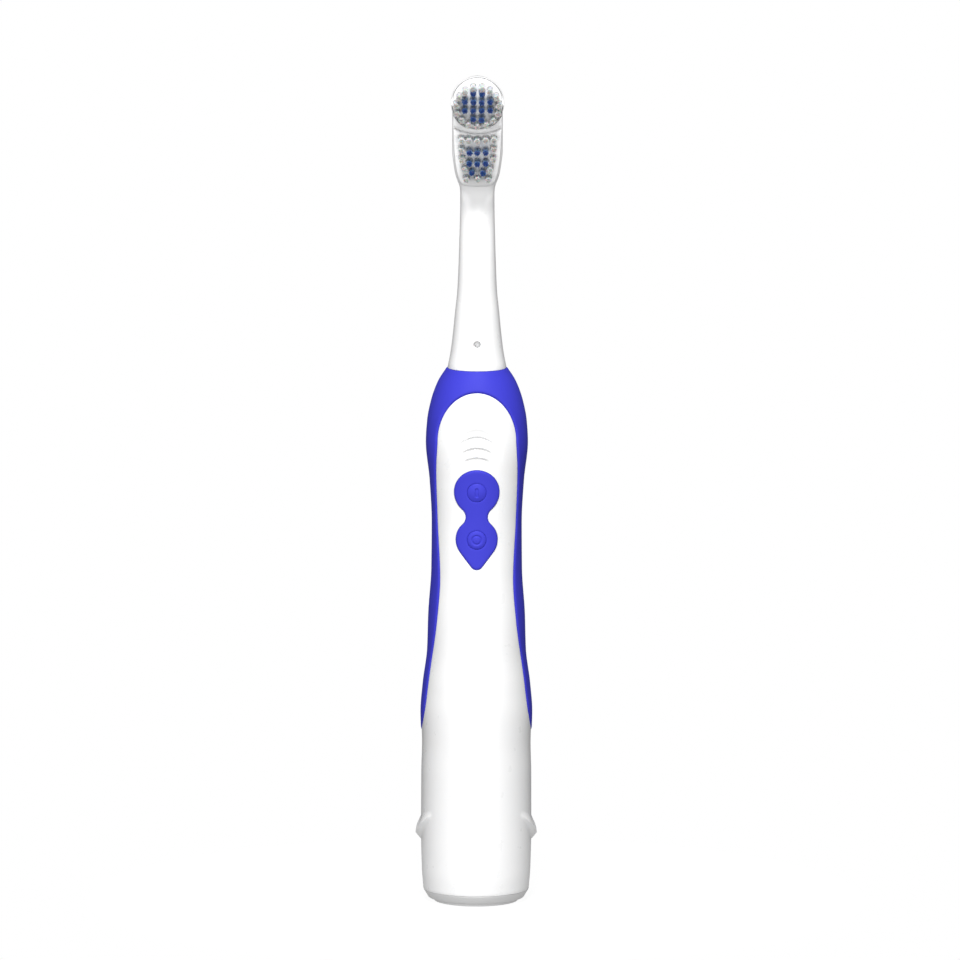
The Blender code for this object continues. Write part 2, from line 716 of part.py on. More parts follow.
def armature_outline(grow):
    """Three poles with curved shoes around a hub."""
    points = []
    for pole in range(3):
        turn = 120 * pole
        stem = 1.5 + grow
        inner = 4.7 - grow
        edge = 48 + grow * 12
        local = [(4.2 - grow, -stem), (inner * math.cos(math.radians(-edge)),
                                      inner * math.sin(math.radians(-edge)))]
        local += arc((0, 0), ARMATURE_R + grow, -edge, edge, 8)
        local += [(inner * math.cos(math.radians(edge)), inner * math.sin(math.radians(edge))),
                  (4.2 - grow, stem), ((2.6 + grow) * 0.5, (2.6 + grow) * 0.866)]
        cosine, sine = math.cos(math.radians(turn)), math.sin(math.radians(turn))
        points += [(x * cosine - y * sine, x * sine + y * cosine) for x, y in local]
    return points


def make_rotor():
    low = MOTOR_Z[0]
    rod("motor_shaft", MOTOR_SHAFT_R, (0, 0, low - 0.8), (0, 0, PINION_Z[1] - SHAFT_INSET), "steel")
    bore = rod("rotor_bore", MOTOR_SHAFT_R + 0.25, (0, 0, low), (0, 0, 105))
    core = loft("armature_core", [[(x, y, z) for x, y in armature_outline(0.0)]
                                  for z in (low + 6.5, low + 18.5)], "steel")
    cut(core, bore)
    winding = rod("armature_winding", 4.6, (0, 0, low + 5.0), (0, 0, low + 20.0), "copper")
    grown = loft("winding_slots", [[(x, y, z) for x, y in armature_outline(GAP)]
                                   for z in (low + 6.2, low + 18.8)])
    cut(winding, grown, bore)
    cut(rod("commutator", 2.2, (0, 0, low + 2.0), (0, 0, low + 4.6), "copper"), bore)
    cut(make_pinion(), bore)


def make_pinion():
    """A spur pinion with a tooth towards +Y at rest."""
    pitch_r = MODULE * PINION_TEETH / 2
    outline = []
    for tooth in range(PINION_TEETH):
        middle = math.radians(90 + 360 * tooth / PINION_TEETH)
        for radius, half in ((1.65, -0.42), (pitch_r, -0.26), (2.68, -0.14),
                             (2.68, 0.14), (pitch_r, 0.26), (1.65, 0.42)):
            angle = middle + half / radius
            outline.append((radius * math.cos(angle), radius * math.sin(angle)))
    return loft("motor_pinion", [[(x, y, z) for x, y in outline] for z in PINION_Z], "brass")


def make_crown_gear():
    """A face gear with its teeth towards -Y, a blind bore behind and a crank pin in front."""
    pitch_r = MODULE * CROWN_TEETH / 2
    plane = MODULE * PINION_TEETH / 2
    inner, outer = pitch_r - 0.85, pitch_r + 0.95
    sections = []
    for tooth in range(CROWN_TEETH):
        middle = math.radians(-90) + math.tau * (tooth + 0.5) / CROWN_TEETH
        for half, top in ((-0.36, plane + 0.65), (-0.15, plane - 0.5),
                          (0.15, plane - 0.5), (0.36, plane + 0.65)):
            angle = middle + half / pitch_r
            sections.append([(r * math.cos(angle), y, CROWN_Z + r * math.sin(angle))
                             for r, y in ((inner, top), (outer, top), (outer, 4.4), (inner, 4.4))])
    gear = loft("crown_gear", sections, "white_nylon", closed=True)
    web = rod("crown_web", inner + 0.4, (0, 2.9, CROWN_Z), (0, 4.3, CROWN_Z), sides=27)
    hub = rod("crown_hub", 2.4, (0, 3.2, CROWN_Z), (0, 6.3, CROWN_Z))
    crank = rod("crank_pin", CRANK_R, (CRANK_THROW, -1.8, CROWN_Z), (CRANK_THROW, 3.2, CROWN_Z))
    bore = rod("crown_bore", AXLE_R + GAP, (0, 3.4, CROWN_Z), (0, 7, CROWN_Z))
    cut(join(gear, web, hub, crank), bore)


# ---------------------------------------------------------------- drive shaft

def make_drive():
    """The crank pin turns inside the yoke's window, with clearance at every pair of positions."""
    half_window = (CRANK_THROW + CRANK_R + GAP, 2 * CRANK_THROW + CRANK_R + GAP)
    wall = 1.1
    yoke = box("drive_yoke", (-half_window[0] - wall, half_window[0] + wall), (-1.2, 1.2),
               (CROWN_Z - half_window[1] - wall, CROWN_Z + half_window[1] + wall), "white_nylon")
    yoke_top = CROWN_Z + half_window[1] + wall
    socket_low = CROWN_Z + MODULE * CROWN_TEETH / 2 + 2.1
    stem = box("yoke_stem", (-1.6, 1.6), (-1.2, 1.2), (yoke_top - 0.2, socket_low + 0.5))
    socket = rod("yoke_socket", 2.4, (0, 0, socket_low), (0, 0, socket_low + 3.8))
    window = box("yoke_window", (-half_window[0], half_window[0]), (-3, 3),
                 (CROWN_Z - half_window[1], CROWN_Z + half_window[1]))
    bore = rod("yoke_bore", SHAFT_R + GAP, (0, 0, socket_low + 0.6), (0, 0, socket_low + 6))
    cut(join(yoke, stem, socket), window, bore)
    rod("drive_shaft", SHAFT_R, (0, 0, socket_low + 0.9), (0, 0, SHAFT_TOP), "steel")


def make_nozzle():
    """The spigot that the brush head pushes onto, and the lip seal around the shaft."""
    bore = SHAFT_R + 0.65
    turned("nozzle", [
        (NOZZLE_R - 0.6, NOZZLE_TOP), (NOZZLE_R, NOZZLE_TOP - 2.0), (NOZZLE_R, CAVITY_TOP - GAP),
        (6.8, CAVITY_TOP - GAP), (6.8, CAVITY_TOP - 2.4), (3.2, CAVITY_TOP - 2.4),
        (3.2, CAVITY_TOP + 3.3), (bore, CAVITY_TOP + 3.3), (bore, NOZZLE_TOP)],
        "white_abs", sides=20, closed=True)
    turned("shaft_seal", [
        (2.9, CAVITY_TOP + 3.0), (2.9, CAVITY_TOP - 2.0), (SHAFT_R + GAP, CAVITY_TOP - 2.0),
        (SHAFT_R + GAP, CAVITY_TOP - 1.0), (2.1, CAVITY_TOP), (2.1, CAVITY_TOP + 1.0),
        (SHAFT_R + GAP, CAVITY_TOP + 2.0), (SHAFT_R + GAP, CAVITY_TOP + 3.0)],
        "black_rubber", closed=True)


# ---------------------------------------------------------------- brush head

def head_outline():
    right = arc((0.0, DISC_Z), HEAD_HALF_WIDTH, 90, 0, 12)
    right[0] = (0.0, right[0][1])
    right += [(HEAD_HALF_WIDTH, 219.0), (HEAD_HALF_WIDTH, 213.5), (6.75, 210.7), (6.2, 206.9),
              (5.4, 204.9), (4.4, 203.6), (0.0, 203.2)]
    return mirrored(right)


def make_neck_shell():
    rings = []
    for height in spread(NECK[0][0], NECK[-1][0], 6.0):
        half_width, half_depth, middle = along_stations(NECK, height)
        rings.append(oval(half_width, half_depth, height, middle, sides=20))
    neck = loft("neck_shell", rings)
    keep_as_part(neck, "white_abs")
    base = slab("head_base", head_outline(), (HEAD_FRONT, HEAD_BACK))
    bevel = base.modifiers.new("edge", "BEVEL")
    bevel.width = 1.1 * MM
    bevel.segments = 2
    bevel.limit_method = "ANGLE"
    bevel.angle_limit = math.radians(60)
    join(neck, base)
    low = NECK[0][0] - 1
    cut(neck,
        rod("neck_bore", NOZZLE_R + 0.35, (0, 0, low), (0, 0, NOZZLE_TOP + 1), sides=20),
        rod("rod_bore", 3.3, (0, 0, NOZZLE_TOP), (0, 0, 180.0)),
        box("rod_channel", (-2.2, 2.2), (-1.2, 1.6), (179.0, 207.0)),
        box("head_pocket", (-5.2, 5.2), (-4.0, 1.9), (205.0, 231.0)),
        rod("pivot_hole", PIVOT_R + GAP, (0, 1.5, DISC_Z), (0, 3.1, DISC_Z), sides=16),
        rod("drain_hole", DRAIN_R, (0, -10, DRAIN_Z), (0, -4, DRAIN_Z), sides=16))
    rod("disc_pivot_pin", PIVOT_R, (0, -3.0, DISC_Z), (0, 2.9, DISC_Z), "steel", sides=16)


def make_push_rod():
    """From its socket on the drive shaft up to the eye that swings the disc."""
    rod_body = rod("push_rod", 2.6, (0, 0, 169.5), (0, 0, 178.0), "white_nylon")
    bar = box("rod_bar", (-1.5, 1.5), (-0.8, 1.2), (177.5, 214.5))
    shoulder = box("rod_shoulder", (-1.5, 4.5), (-0.2, 1.2), (211.5, 214.5))
    half = 1.0
    eye_z = DISC_Z
    arm = box("rod_arm", (1.1, 4.4), (-0.2, 1.2), (214.0, eye_z + half + 0.9))
    window = box("rod_eye", (DISC_PIN_X - half, DISC_PIN_X + half), (-2, 3), (eye_z - 0.85, eye_z + 0.85))
    socket = rod("rod_socket", SHAFT_R + GAP, (0, 0, 168), (0, 0, SHAFT_TOP + 0.6))
    cut(join(rod_body, bar, shoulder, arm), window, socket)


def make_disc():
    disc = rod("oscillating_disc", DISC_R, (0, BRUSH_BACK, DISC_Z), (0, BRUSH_FRONT, DISC_Z),
               "white_abs", sides=24)
    hub = rod("disc_hub", 1.7, (0, BRUSH_BACK - 0.2, DISC_Z), (0, -0.6, DISC_Z))
    drive_pin = rod("disc_drive_pin", 0.55, (DISC_PIN_X, BRUSH_BACK - 0.2, DISC_Z),
                    (DISC_PIN_X, 1.4, DISC_Z), sides=12)
    recess = rod("disc_recess", DISC_R - 0.35, (0, -5.5, DISC_Z), (0, -3.3, DISC_Z), sides=24)
    bore = rod("disc_bore", PIVOT_R + GAP, (0, -3.2, DISC_Z), (0, 0, DISC_Z), sides=16)
    cut(join(disc, hub, drive_pin), recess, bore)


def plate_outline(inset):
    """The lower brush plate: a hollowed top edge, tapering sides and round bottom corners."""
    top = []
    for i in range(7):
        x = (6.45 - inset) * i / 6
        top.append((x, 218.9 + x ** 2 / 33.0 - inset))
    right = top + [(6.07 - inset, 212.0), (5.4 - inset, 207.6), (4.75 - inset, 205.3 + inset * 0.5),
                   (3.6 - inset * 0.5, 204.2 + inset), (0.0, 203.9 + inset)]
    return mirrored(right)


def blue_root_outline(grow):
    side = 3.1 + grow
    low_side = 2.45 + grow
    return [(-side, 215.9 + grow), (side, 215.9 + grow), (side, 210.6 - grow), (low_side, 209.9 - grow),
            (low_side, 208.05 - grow), (-low_side, 208.05 - grow), (-low_side, 209.9 - grow),
            (-side, 210.6 - grow)]


def make_sliding_plate():
    plate = slab("sliding_plate", plate_outline(0.0), (BRUSH_FRONT, BRUSH_BACK), "white_abs")
    tab = box("plate_tab", (-1.6, 1.6), (BRUSH_BACK - 0.2, -1.1), (207.5, 213.5))
    recess = slab("plate_recess", plate_outline(0.35), (-6.0, -3.3))
    cut(join(plate, tab), recess)


def add_tufts(root, places):
    """Stand a tuft at each (x, z) place, joined to the root that holds them."""
    bm = bmesh.new()
    for x, z in places:
        middle = Vector((x, (TUFT_TIP + TUFT_ROOT) / 2, z)) * MM
        lay_down = Matrix.Rotation(math.radians(90), 4, "X")
        bmesh.ops.create_cone(
            bm, cap_ends=True, segments=6, radius1=TUFT_R * MM, radius2=TUFT_R * MM,
            depth=(TUFT_ROOT - TUFT_TIP) * MM, matrix=Matrix.Translation(middle) @ lay_down)
    join(root, finish_mesh(bm, root.name + "_tufts", None))


def make_tufts():
    back, front = -3.6, BRUSH_FRONT
    disc_blue = rod("disc_blue_bristles", 4.7, (0, back, DISC_Z), (0, front, DISC_Z), "blue_bristle")
    add_tufts(disc_blue, [(x, DISC_Z + z) for x, z in DISC_BLUE])
    disc_white = rod("disc_white_bristles", 6.85, (0, back, DISC_Z), (0, front, DISC_Z),
                     "white_bristle", sides=24)
    cut(disc_white, rod("disc_white_inner", 5.0, (0, -2, DISC_Z), (0, -6, DISC_Z)))
    ring = []
    for i in range(RING_TUFTS):
        angle = math.radians(-90) + math.tau * i / RING_TUFTS
        ring.append((RING_TUFT_R * math.cos(angle), DISC_Z + RING_TUFT_R * math.sin(angle)))
    add_tufts(disc_white, ring)
    plate_blue = slab("plate_blue_bristles", blue_root_outline(0.0), (front, back), "blue_bristle")
    add_tufts(plate_blue, PLATE_BLUE)
    plate_white = slab("plate_white_bristles", plate_outline(0.65), (front, back), "white_bristle")
    cut(plate_white, slab("plate_white_inner", blue_root_outline(GAP), (-6, -2)))
    add_tufts(plate_white, PLATE_WHITE)


make_handle_body()
make_grip_overmold()
make_button_pad()
make_buttons()
make_base_cap()
make_sealing_ring()
make_cells()
make_contacts()
make_chassis()
make_switch()
make_motor_case()
make_rotor()
make_crown_gear()
make_drive()
make_nozzle()
make_neck_shell()
make_push_rod()
make_disc()
make_sliding_plate()
make_tufts()
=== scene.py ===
"""Looks for the battery toothbrush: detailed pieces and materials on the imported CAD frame."""

import json
import math

import bmesh
import bpy
import numpy as np
from mathutils import Matrix, Vector
from mathutils.geometry import delaunay_2d_cdt
from mathutils.kdtree import KDTree

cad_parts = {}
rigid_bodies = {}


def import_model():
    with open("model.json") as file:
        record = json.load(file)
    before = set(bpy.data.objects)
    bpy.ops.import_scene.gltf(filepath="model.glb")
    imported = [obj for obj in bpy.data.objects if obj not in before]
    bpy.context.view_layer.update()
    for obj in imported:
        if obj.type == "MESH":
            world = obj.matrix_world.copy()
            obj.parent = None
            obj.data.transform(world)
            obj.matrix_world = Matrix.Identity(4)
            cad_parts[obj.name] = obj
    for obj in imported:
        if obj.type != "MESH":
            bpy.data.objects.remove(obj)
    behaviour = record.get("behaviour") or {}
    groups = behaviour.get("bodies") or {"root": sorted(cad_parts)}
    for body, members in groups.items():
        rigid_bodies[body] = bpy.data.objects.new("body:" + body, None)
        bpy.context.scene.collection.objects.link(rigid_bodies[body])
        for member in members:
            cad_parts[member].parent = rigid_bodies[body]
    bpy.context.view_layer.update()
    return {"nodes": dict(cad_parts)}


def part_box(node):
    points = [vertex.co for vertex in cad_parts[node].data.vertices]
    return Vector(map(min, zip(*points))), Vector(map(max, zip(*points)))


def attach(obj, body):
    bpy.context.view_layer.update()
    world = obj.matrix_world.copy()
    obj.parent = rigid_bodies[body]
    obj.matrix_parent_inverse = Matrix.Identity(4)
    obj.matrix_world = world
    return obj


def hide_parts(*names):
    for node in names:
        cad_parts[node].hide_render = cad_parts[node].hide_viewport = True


MM = 0.001
WELD = 1e-6                   # metres
SHARP = 35                    # degrees from which an edge stays sharp

# Handle: height, half width and half depth of its sections, in millimetres like all sizes below.
HANDLE = (
    (3.4, 14.9, 16.0), (9.0, 15.35, 16.6), (20.0, 15.6, 16.8), (37.0, 15.55, 16.8),
    (45.0, 15.35, 16.7), (54.0, 15.6, 16.7), (62.0, 15.0, 16.2), (72.0, 13.75, 14.9),
    (82.0, 13.45, 13.9), (95.0, 12.6, 12.9), (108.0, 12.5, 12.4), (120.0, 13.1, 12.7),
    (131.0, 14.2, 13.1), (137.0, 13.85, 12.6), (142.5, 12.8, 11.5), (148.0, 10.85, 9.8),
    (151.9, 8.4, 8.3),
)
HANDLE_BOTTOM = 3.4
HANDLE_TOP = 151.9
CAVITY_TOP = 145.0
NOZZLE_HOLE_R = 4.9
WALL = 1.4
WALL_EXTRA = 0.7              # added from the lower edge of the grip upwards
SKIN_SCALE = 14.0             # millimetres per radian when the skin is laid out flat
HALF_TURN = math.pi * SKIN_SCALE

# White front panel: its oval top, then height and half width of its sides.
PANEL_APEX = 146.1
PANEL_SHOULDER = 132.0
PANEL_HALF_WIDTH = 11.2
PANEL_SIDE = (
    (40.0, 17.6), (46.5, 15.9), (57.0, 14.35), (64.0, 13.5), (81.0, 11.25), (93.0, 10.4),
    (109.0, 11.1), (124.0, 11.55), (132.0, 11.2),
)
# Grip: thickness, and its lower edge: height at the middle of the back, rise towards the sides,
# half width of the skin there, and the half width that the rise is spread over.
GRIP_THICKNESS = 0.8
GRIP_LOWEST = 43.0
HEM_MIDDLE = 44.0
HEM_RISE = 3.6
HEM_HALF_WIDTH = 15.4
HEM_REACH = 15.5

# Button pad and its two buttons.
PAD_UPPER_Z = 118.1
PAD_UPPER_R = 6.46
PAD_LOWER_Z = 104.6
PAD_LOWER_R = 5.97
PAD_WAIST_R = 2.76
PAD_TIP_R = 2.0
PAD_TIP_Z = 96.1
PAD_DEPTH = 1.3
PAD_GAP = 0.03                # between the pad and the edge of its hole
HOLE_ROLL = 0.03
BUTTON_R = 2.7
DOME_R = 2.66
BUTTON_BACK = -11.5
STEM_FRONT = -11.49
BAR_HALF = 0.85               # half height of the bar's straight part

# Arcs above the pad: height of the middle, half width, drop of the ends, depth.
RIDGES = (
    (134.25, 4.9, 2.0, 1.25),
    (131.05, 4.2, 1.4, 1.15),
    (128.25, 3.5, 0.95, 1.0),
)
RIDGE_EDGE = 0.66             # height over which a ridge drops to its full depth
RIDGE_FADE = 2.3              # and over which it comes back to the skin
HALO = (136.5, 7.3, 5.2, 0.42)

# Chevron lugs at the sides.
LUG_Z = 19.3
LUG_REACH = 1.55
LUG_SWEEP = math.radians(36)
LUG_RISE = 6.5

# Where the skin is meshed finely: half width and heights in the flat skin.
FINE_FRONT = (9.0, 123.5, 138.0)
FINE_LUG = (10.5, 14.5, 27.5)

# Neck and head: height, half width, half depth and middle y of the sections.
NECK = (
    (152.2, 8.3, 8.2, 0.0), (156.6, 7.45, 7.3, 0.0), (162.3, 6.75, 6.6, 0.0),
    (168.0, 6.2, 6.0, 0.0), (173.7, 5.6, 5.4, 0.0), (180.0, 5.3, 5.0, 0.0),
    (188.0, 5.05, 4.4, 0.1), (196.0, 4.85, 3.6, 0.5), (201.5, 4.8, 2.9, 0.9),
    (203.6, 5.0, 2.8, 0.8), (205.4, 5.7, 2.8, 0.8), (207.4, 6.3, 2.8, 0.8),
    (210.7, 6.8, 2.8, 0.8), (213.5, 7.1, 2.8, 0.8), (227.5, 7.1, 2.8, 0.8),
)
NECK_TOP = 234.6
DISC_Z = 227.5
DISC_R = 7.5
BRUSH_BACK = -2.3             # y of the back of the disc and of the plate
RIM_GROOVE = -2.5             # y of the bottom of the groove around the disc
RIM_FILLED = -3.6             # y of the same ring where the groove has faded out

# Corner pieces between the disc, the plate and the head: inner x, lower edge, gap and two y.
SADDLE_X = 3.7
SADDLE_LOW = 219.95
SADDLE_GAP = 0.16
SADDLE_FRONT = -4.0
SADDLE_BACK = -1.7

# Lower plate: height of its top edge, how flat that edge's hollow is, and its sides.
PLATE_TOP = 218.9
PLATE_HOLLOW = 33.0
PLATE_TOP_HALF_WIDTH = 6.75
PLATE_SIDE = (
    (203.9, 0.0), (204.0, 2.8), (204.4, 4.1), (205.2, 4.95), (207.6, 5.8), (212.0, 6.5),
    (218.9, 6.9), (220.8, 6.9),
)

# Tufts: radius, y of root and tips, and where they stand as (x, height).
TUFT_R = 0.85
TUFT_ROOT = -4.0
TUFT_TIP = -13.0
FILAMENT_R = 0.1
FILAMENT_SIDES = 6
FILAMENT_PITCH = 2.3 * FILAMENT_R
SOCKET_GAP = 0.08
RING_TUFTS = 15
RING_REACH = (6.05, 5.45)
RING_Z = DISC_Z - 0.45
RING_TURNS = [math.radians(-90 + 360 * i / RING_TUFTS) for i in range(RING_TUFTS)]
DISC_WHITE = [(RING_REACH[0] * math.cos(turn), RING_Z + RING_REACH[1] * math.sin(turn))
              for turn in RING_TURNS]
DISC_BLUE = [(x, DISC_Z + z) for x in (-1.2, 1.2) for z in (-3.75, -1.3, 1.15, 3.5)]
DISC_BLUE += [(x, DISC_Z + z) for x in (-3.6, 3.6) for z in (-1.3, 1.15)]
PLATE_BLUE = [(x, z) for z in (214.4, 211.25) for x in (-2.25, 0.0, 2.25)]
PLATE_BLUE += [(-1.5, 208.6), (1.5, 208.6)]
PLATE_WHITE = [(-4.55, 217.9), (-2.35, 217.8), (0.0, 217.6), (2.35, 217.8), (4.55, 217.9)]
PLATE_WHITE += [(side * x, z) for side in (-1, 1)
                for x, z in ((4.5, 215.1), (4.4, 212.4), (3.55, 209.5))]
PLATE_WHITE += [(-3.15, 206.7), (0.0, 206.6), (3.15, 206.7)]

# Studio, in metres and watts: name, place, size and power of each light.
LIGHTS = (
    ("key", (-0.01, -0.50, 0.82), (0.34, 0.34), 8.3),
    ("front", (-0.12, -1.4, 0.36), (3.3, 0.7), 21.5),
)
LIGHT_AIM = (0.0, 0.0, 0.14)
FLOOR_R = 0.11
FLOOR_SEEN = 0.93
FLOOR_GLOW = 0.36
SURROUND_SEEN = 1.0
SURROUND_LIGHT = 0.16
CAMERA_AIM = (0.0009, 0.0, 0.11997)
CAMERA_DISTANCE = 5.0
CAMERA_LENS = 664.2
CAMERA_TILT = math.radians(8)
CAMERA_ROLL = math.radians(0.11)

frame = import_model()


# ---------------------------------------------------------------- curves and distances

def through(stations):
    """A smooth curve through a table of (height, values...) rows, for arrays of heights."""
    table = np.array(stations, float)
    heights, values = table[:, 0], table[:, 1:]
    step = np.diff(values, axis=0) / np.diff(heights)[:, None]
    slope = np.zeros_like(values)
    slope[0], slope[-1] = step[0], step[-1]
    product = step[:-1] * step[1:]
    total = np.where(product > 0, step[:-1] + step[1:], 1.0)
    slope[1:-1] = np.where(product > 0, 2 * product / total, 0.0)

    def at(height):
        height = np.clip(np.asarray(height, float), heights[0], heights[-1])
        i = np.clip(np.searchsorted(heights, height, side="right") - 1, 0, len(heights) - 2)
        span = (heights[i + 1] - heights[i])[..., None]
        t = (height - heights[i])[..., None] / span
        found = values[i] + span * (
            slope[i] * (t - 2 * t ** 2 + t ** 3)
            + step[i] * (3 * t ** 2 - 2 * t ** 3)
            + slope[i + 1] * (t ** 3 - t ** 2))
        return np.moveaxis(found, -1, 0)
    return at


handle_half = through(HANDLE)
panel_half = through(PANEL_SIDE)
neck_half = through(NECK)
plate_half = through(PLATE_SIDE)


def smooth(t):
    t = np.clip(t, 0.0, 1.0)
    return t * t * (3 - 2 * t)


def rolled(depth, radius):
    """Offset of a rounded edge, from -radius at the edge to zero a radius away from it."""
    t = radius - np.clip(depth, 0.0, radius)
    return np.sqrt(radius ** 2 - t ** 2) - radius


def skin_frame(angle, height):
    """Point on the handle, its two tangents and its outward normal; angle 0 is the front."""
    half = handle_half(height)
    slope = (handle_half(height + 0.05) - handle_half(height - 0.05)) / 0.1
    sin, cos = np.sin(angle), np.cos(angle)
    point = np.stack([half[0] * sin, -half[1] * cos, height], -1)
    along = np.stack([half[0] * cos, half[1] * sin, np.zeros_like(height)], -1)
    up = np.stack([slope[0] * sin, -slope[1] * cos, np.ones_like(height)], -1)
    normal = np.cross(along, up)
    normal /= np.linalg.norm(normal, axis=-1, keepdims=True)
    return point, along, up, normal


def resample(line, spacing, closed=False):
    """Points at an even spacing along a line; a closed one ends on its first point."""
    line = np.array(line, float)
    if closed:
        line = np.vstack([line, line[:1]])
    reach = np.concatenate([[0], np.cumsum(np.linalg.norm(np.diff(line, axis=0), axis=1))])
    count = max(2, int(round(reach[-1] / spacing)) + 1)
    at = np.linspace(0, reach[-1], count)
    return np.stack([np.interp(at, reach, line[:, k]) for k in range(line.shape[1])], -1)


def panel_edge():
    """The line between the white panel and the grip on the right half, as (angle, height)."""
    line = []
    for i in range(121):
        turn = math.radians(90 - 90 * i / 120)
        x = PANEL_HALF_WIDTH * math.cos(turn)
        z = PANEL_SHOULDER + (PANEL_APEX - PANEL_SHOULDER) * math.sin(turn)
        line.append((math.asin(min(1.0, x / handle_half(z)[0])), z))
    for z in np.arange(PANEL_SHOULDER - 0.25, 48.0, -0.25):
        share = panel_half(z)[0] / handle_half(z)[0]
        if share >= 0.999:
            break
        line.append((math.asin(share), z))
    side_z = line[-1][1]
    for turn in np.linspace(0.55 * math.pi, math.pi, 60):
        share = min(1.0, abs(HEM_HALF_WIDTH * math.sin(turn)) / HEM_REACH)
        z = HEM_MIDDLE + HEM_RISE * share ** 2
        line.append((turn, min(z, side_z)))
    flat = np.array(line) * (SKIN_SCALE, 1.0)
    flat = resample(flat, 0.4)
    for _ in range(60):
        near = (np.abs(flat[1:-1, 1] - 50.0) < 5.0)[:, None]
        middle = (flat[:-2] + 2 * flat[1:-1] + flat[2:]) / 4
        flat[1:-1] = np.where(near, middle, flat[1:-1])
    flat = resample(flat, 0.4)
    flat[0, 0] = 0.0
    flat[-1, 0] = HALF_TURN
    return flat / (SKIN_SCALE, 1.0)


RIGHT_EDGE = panel_edge()
EDGE = np.vstack([RIGHT_EDGE[:0:-1] * (-1, 1), RIGHT_EDGE])
EDGE_POINT, EDGE_ALONG, EDGE_UP, EDGE_NORMAL = skin_frame(EDGE[:, 0], EDGE[:, 1])
EDGE_TANGENT = np.gradient(EDGE_POINT, axis=0)
EDGE_TANGENT[0] = EDGE_TANGENT[-1] = (-1.0, 0.0, 0.0)
EDGE_SIDE = np.cross(EDGE_NORMAL, EDGE_TANGENT)
EDGE_SIDE /= np.linalg.norm(EDGE_SIDE, axis=-1, keepdims=True)


def edge_line(distance):
    """The panel's edge moved over the skin towards the grip, in flat skin coordinates."""
    moved = EDGE_SIDE * distance
    aa = (EDGE_ALONG ** 2).sum(-1)
    bb = (EDGE_UP ** 2).sum(-1)
    ab = (EDGE_ALONG * EDGE_UP).sum(-1)
    pa = (moved * EDGE_ALONG).sum(-1)
    pb = (moved * EDGE_UP).sum(-1)
    det = aa * bb - ab ** 2
    turn = (pa * bb - pb * ab) / det
    rise = (pb * aa - pa * ab) / det
    turn[0] = turn[-1] = 0.0
    return np.stack([(EDGE[:, 0] + turn) * SKIN_SCALE, EDGE[:, 1] + rise], -1)


def edge_distance(points):
    """Signed distance of points on the skin from the panel's edge, positive under the grip."""
    fine = resample(EDGE_POINT, 0.04)
    side = np.stack([np.interp(np.linspace(0, 1, len(fine)), np.linspace(0, 1, len(EDGE_SIDE)),
                               EDGE_SIDE[:, k]) for k in range(3)], -1)
    tree = KDTree(len(fine))
    for i, point in enumerate(fine):
        tree.insert(point, i)
    tree.balance()
    found = np.empty(len(points))
    for k, point in enumerate(points):
        near, i, distance = tree.find(point)
        found[k] = math.copysign(distance, float(np.dot(point - fine[i], side[i])))
    return found


def outline_distance(points, outline):
    """Distance of 2D points to a closed outline, positive inside it."""
    outline = np.asarray(outline)
    following = np.roll(outline, -1, axis=0)
    span = following - outline
    length = np.maximum((span ** 2).sum(-1), 1e-12)
    found = np.empty(len(points))
    for start in range(0, len(points), 4000):
        part = points[start:start + 4000, None, :]
        share = np.clip(((part - outline) * span).sum(-1) / length, 0, 1)[..., None]
        near = np.linalg.norm(part - (outline + share * span), axis=-1).min(1)
        above = (outline[:, 1] > part[..., 1]) != (following[:, 1] > part[..., 1])
        rise = np.where(span[:, 1] == 0, 1e-12, span[:, 1])
        cross_x = outline[:, 0] + (part[..., 1] - outline[:, 1]) * span[:, 0] / rise
        inside = (above & (part[..., 0] < cross_x)).sum(1) % 2 == 1
        found[start:start + 4000] = np.where(inside, near, -near)
    return found


def nearest(points, centers):
    """Distance of each 2D point to the closest of some centers."""
    return np.min([np.hypot(points[:, 0] - c[0], points[:, 1] - c[1]) for c in centers], axis=0)


def circle(center, radius, count):
    turn = np.linspace(0, math.tau, count, endpoint=False)
    return np.stack([center[0] + radius * np.cos(turn), center[1] + radius * np.sin(turn)], -1)


def mirrored(right):
    """A closed outline from its right half, which starts and ends on the middle line."""
    return np.vstack([right, right[-2:0:-1] * (-1, 1)])


def upright(flat, y):
    """Points in space for (x, height) pairs, at one y or at a y each."""
    return np.stack([flat[:, 0], np.broadcast_to(y, len(flat)), flat[:, 1]], -1)


def arc(center, radius, start, end, steps):
    """Points on an arc, from one angle to another in degrees."""
    turns = np.radians(np.linspace(start, end, steps + 1))
    return np.stack([center[0] + radius * np.cos(turns), center[1] + radius * np.sin(turns)], -1)


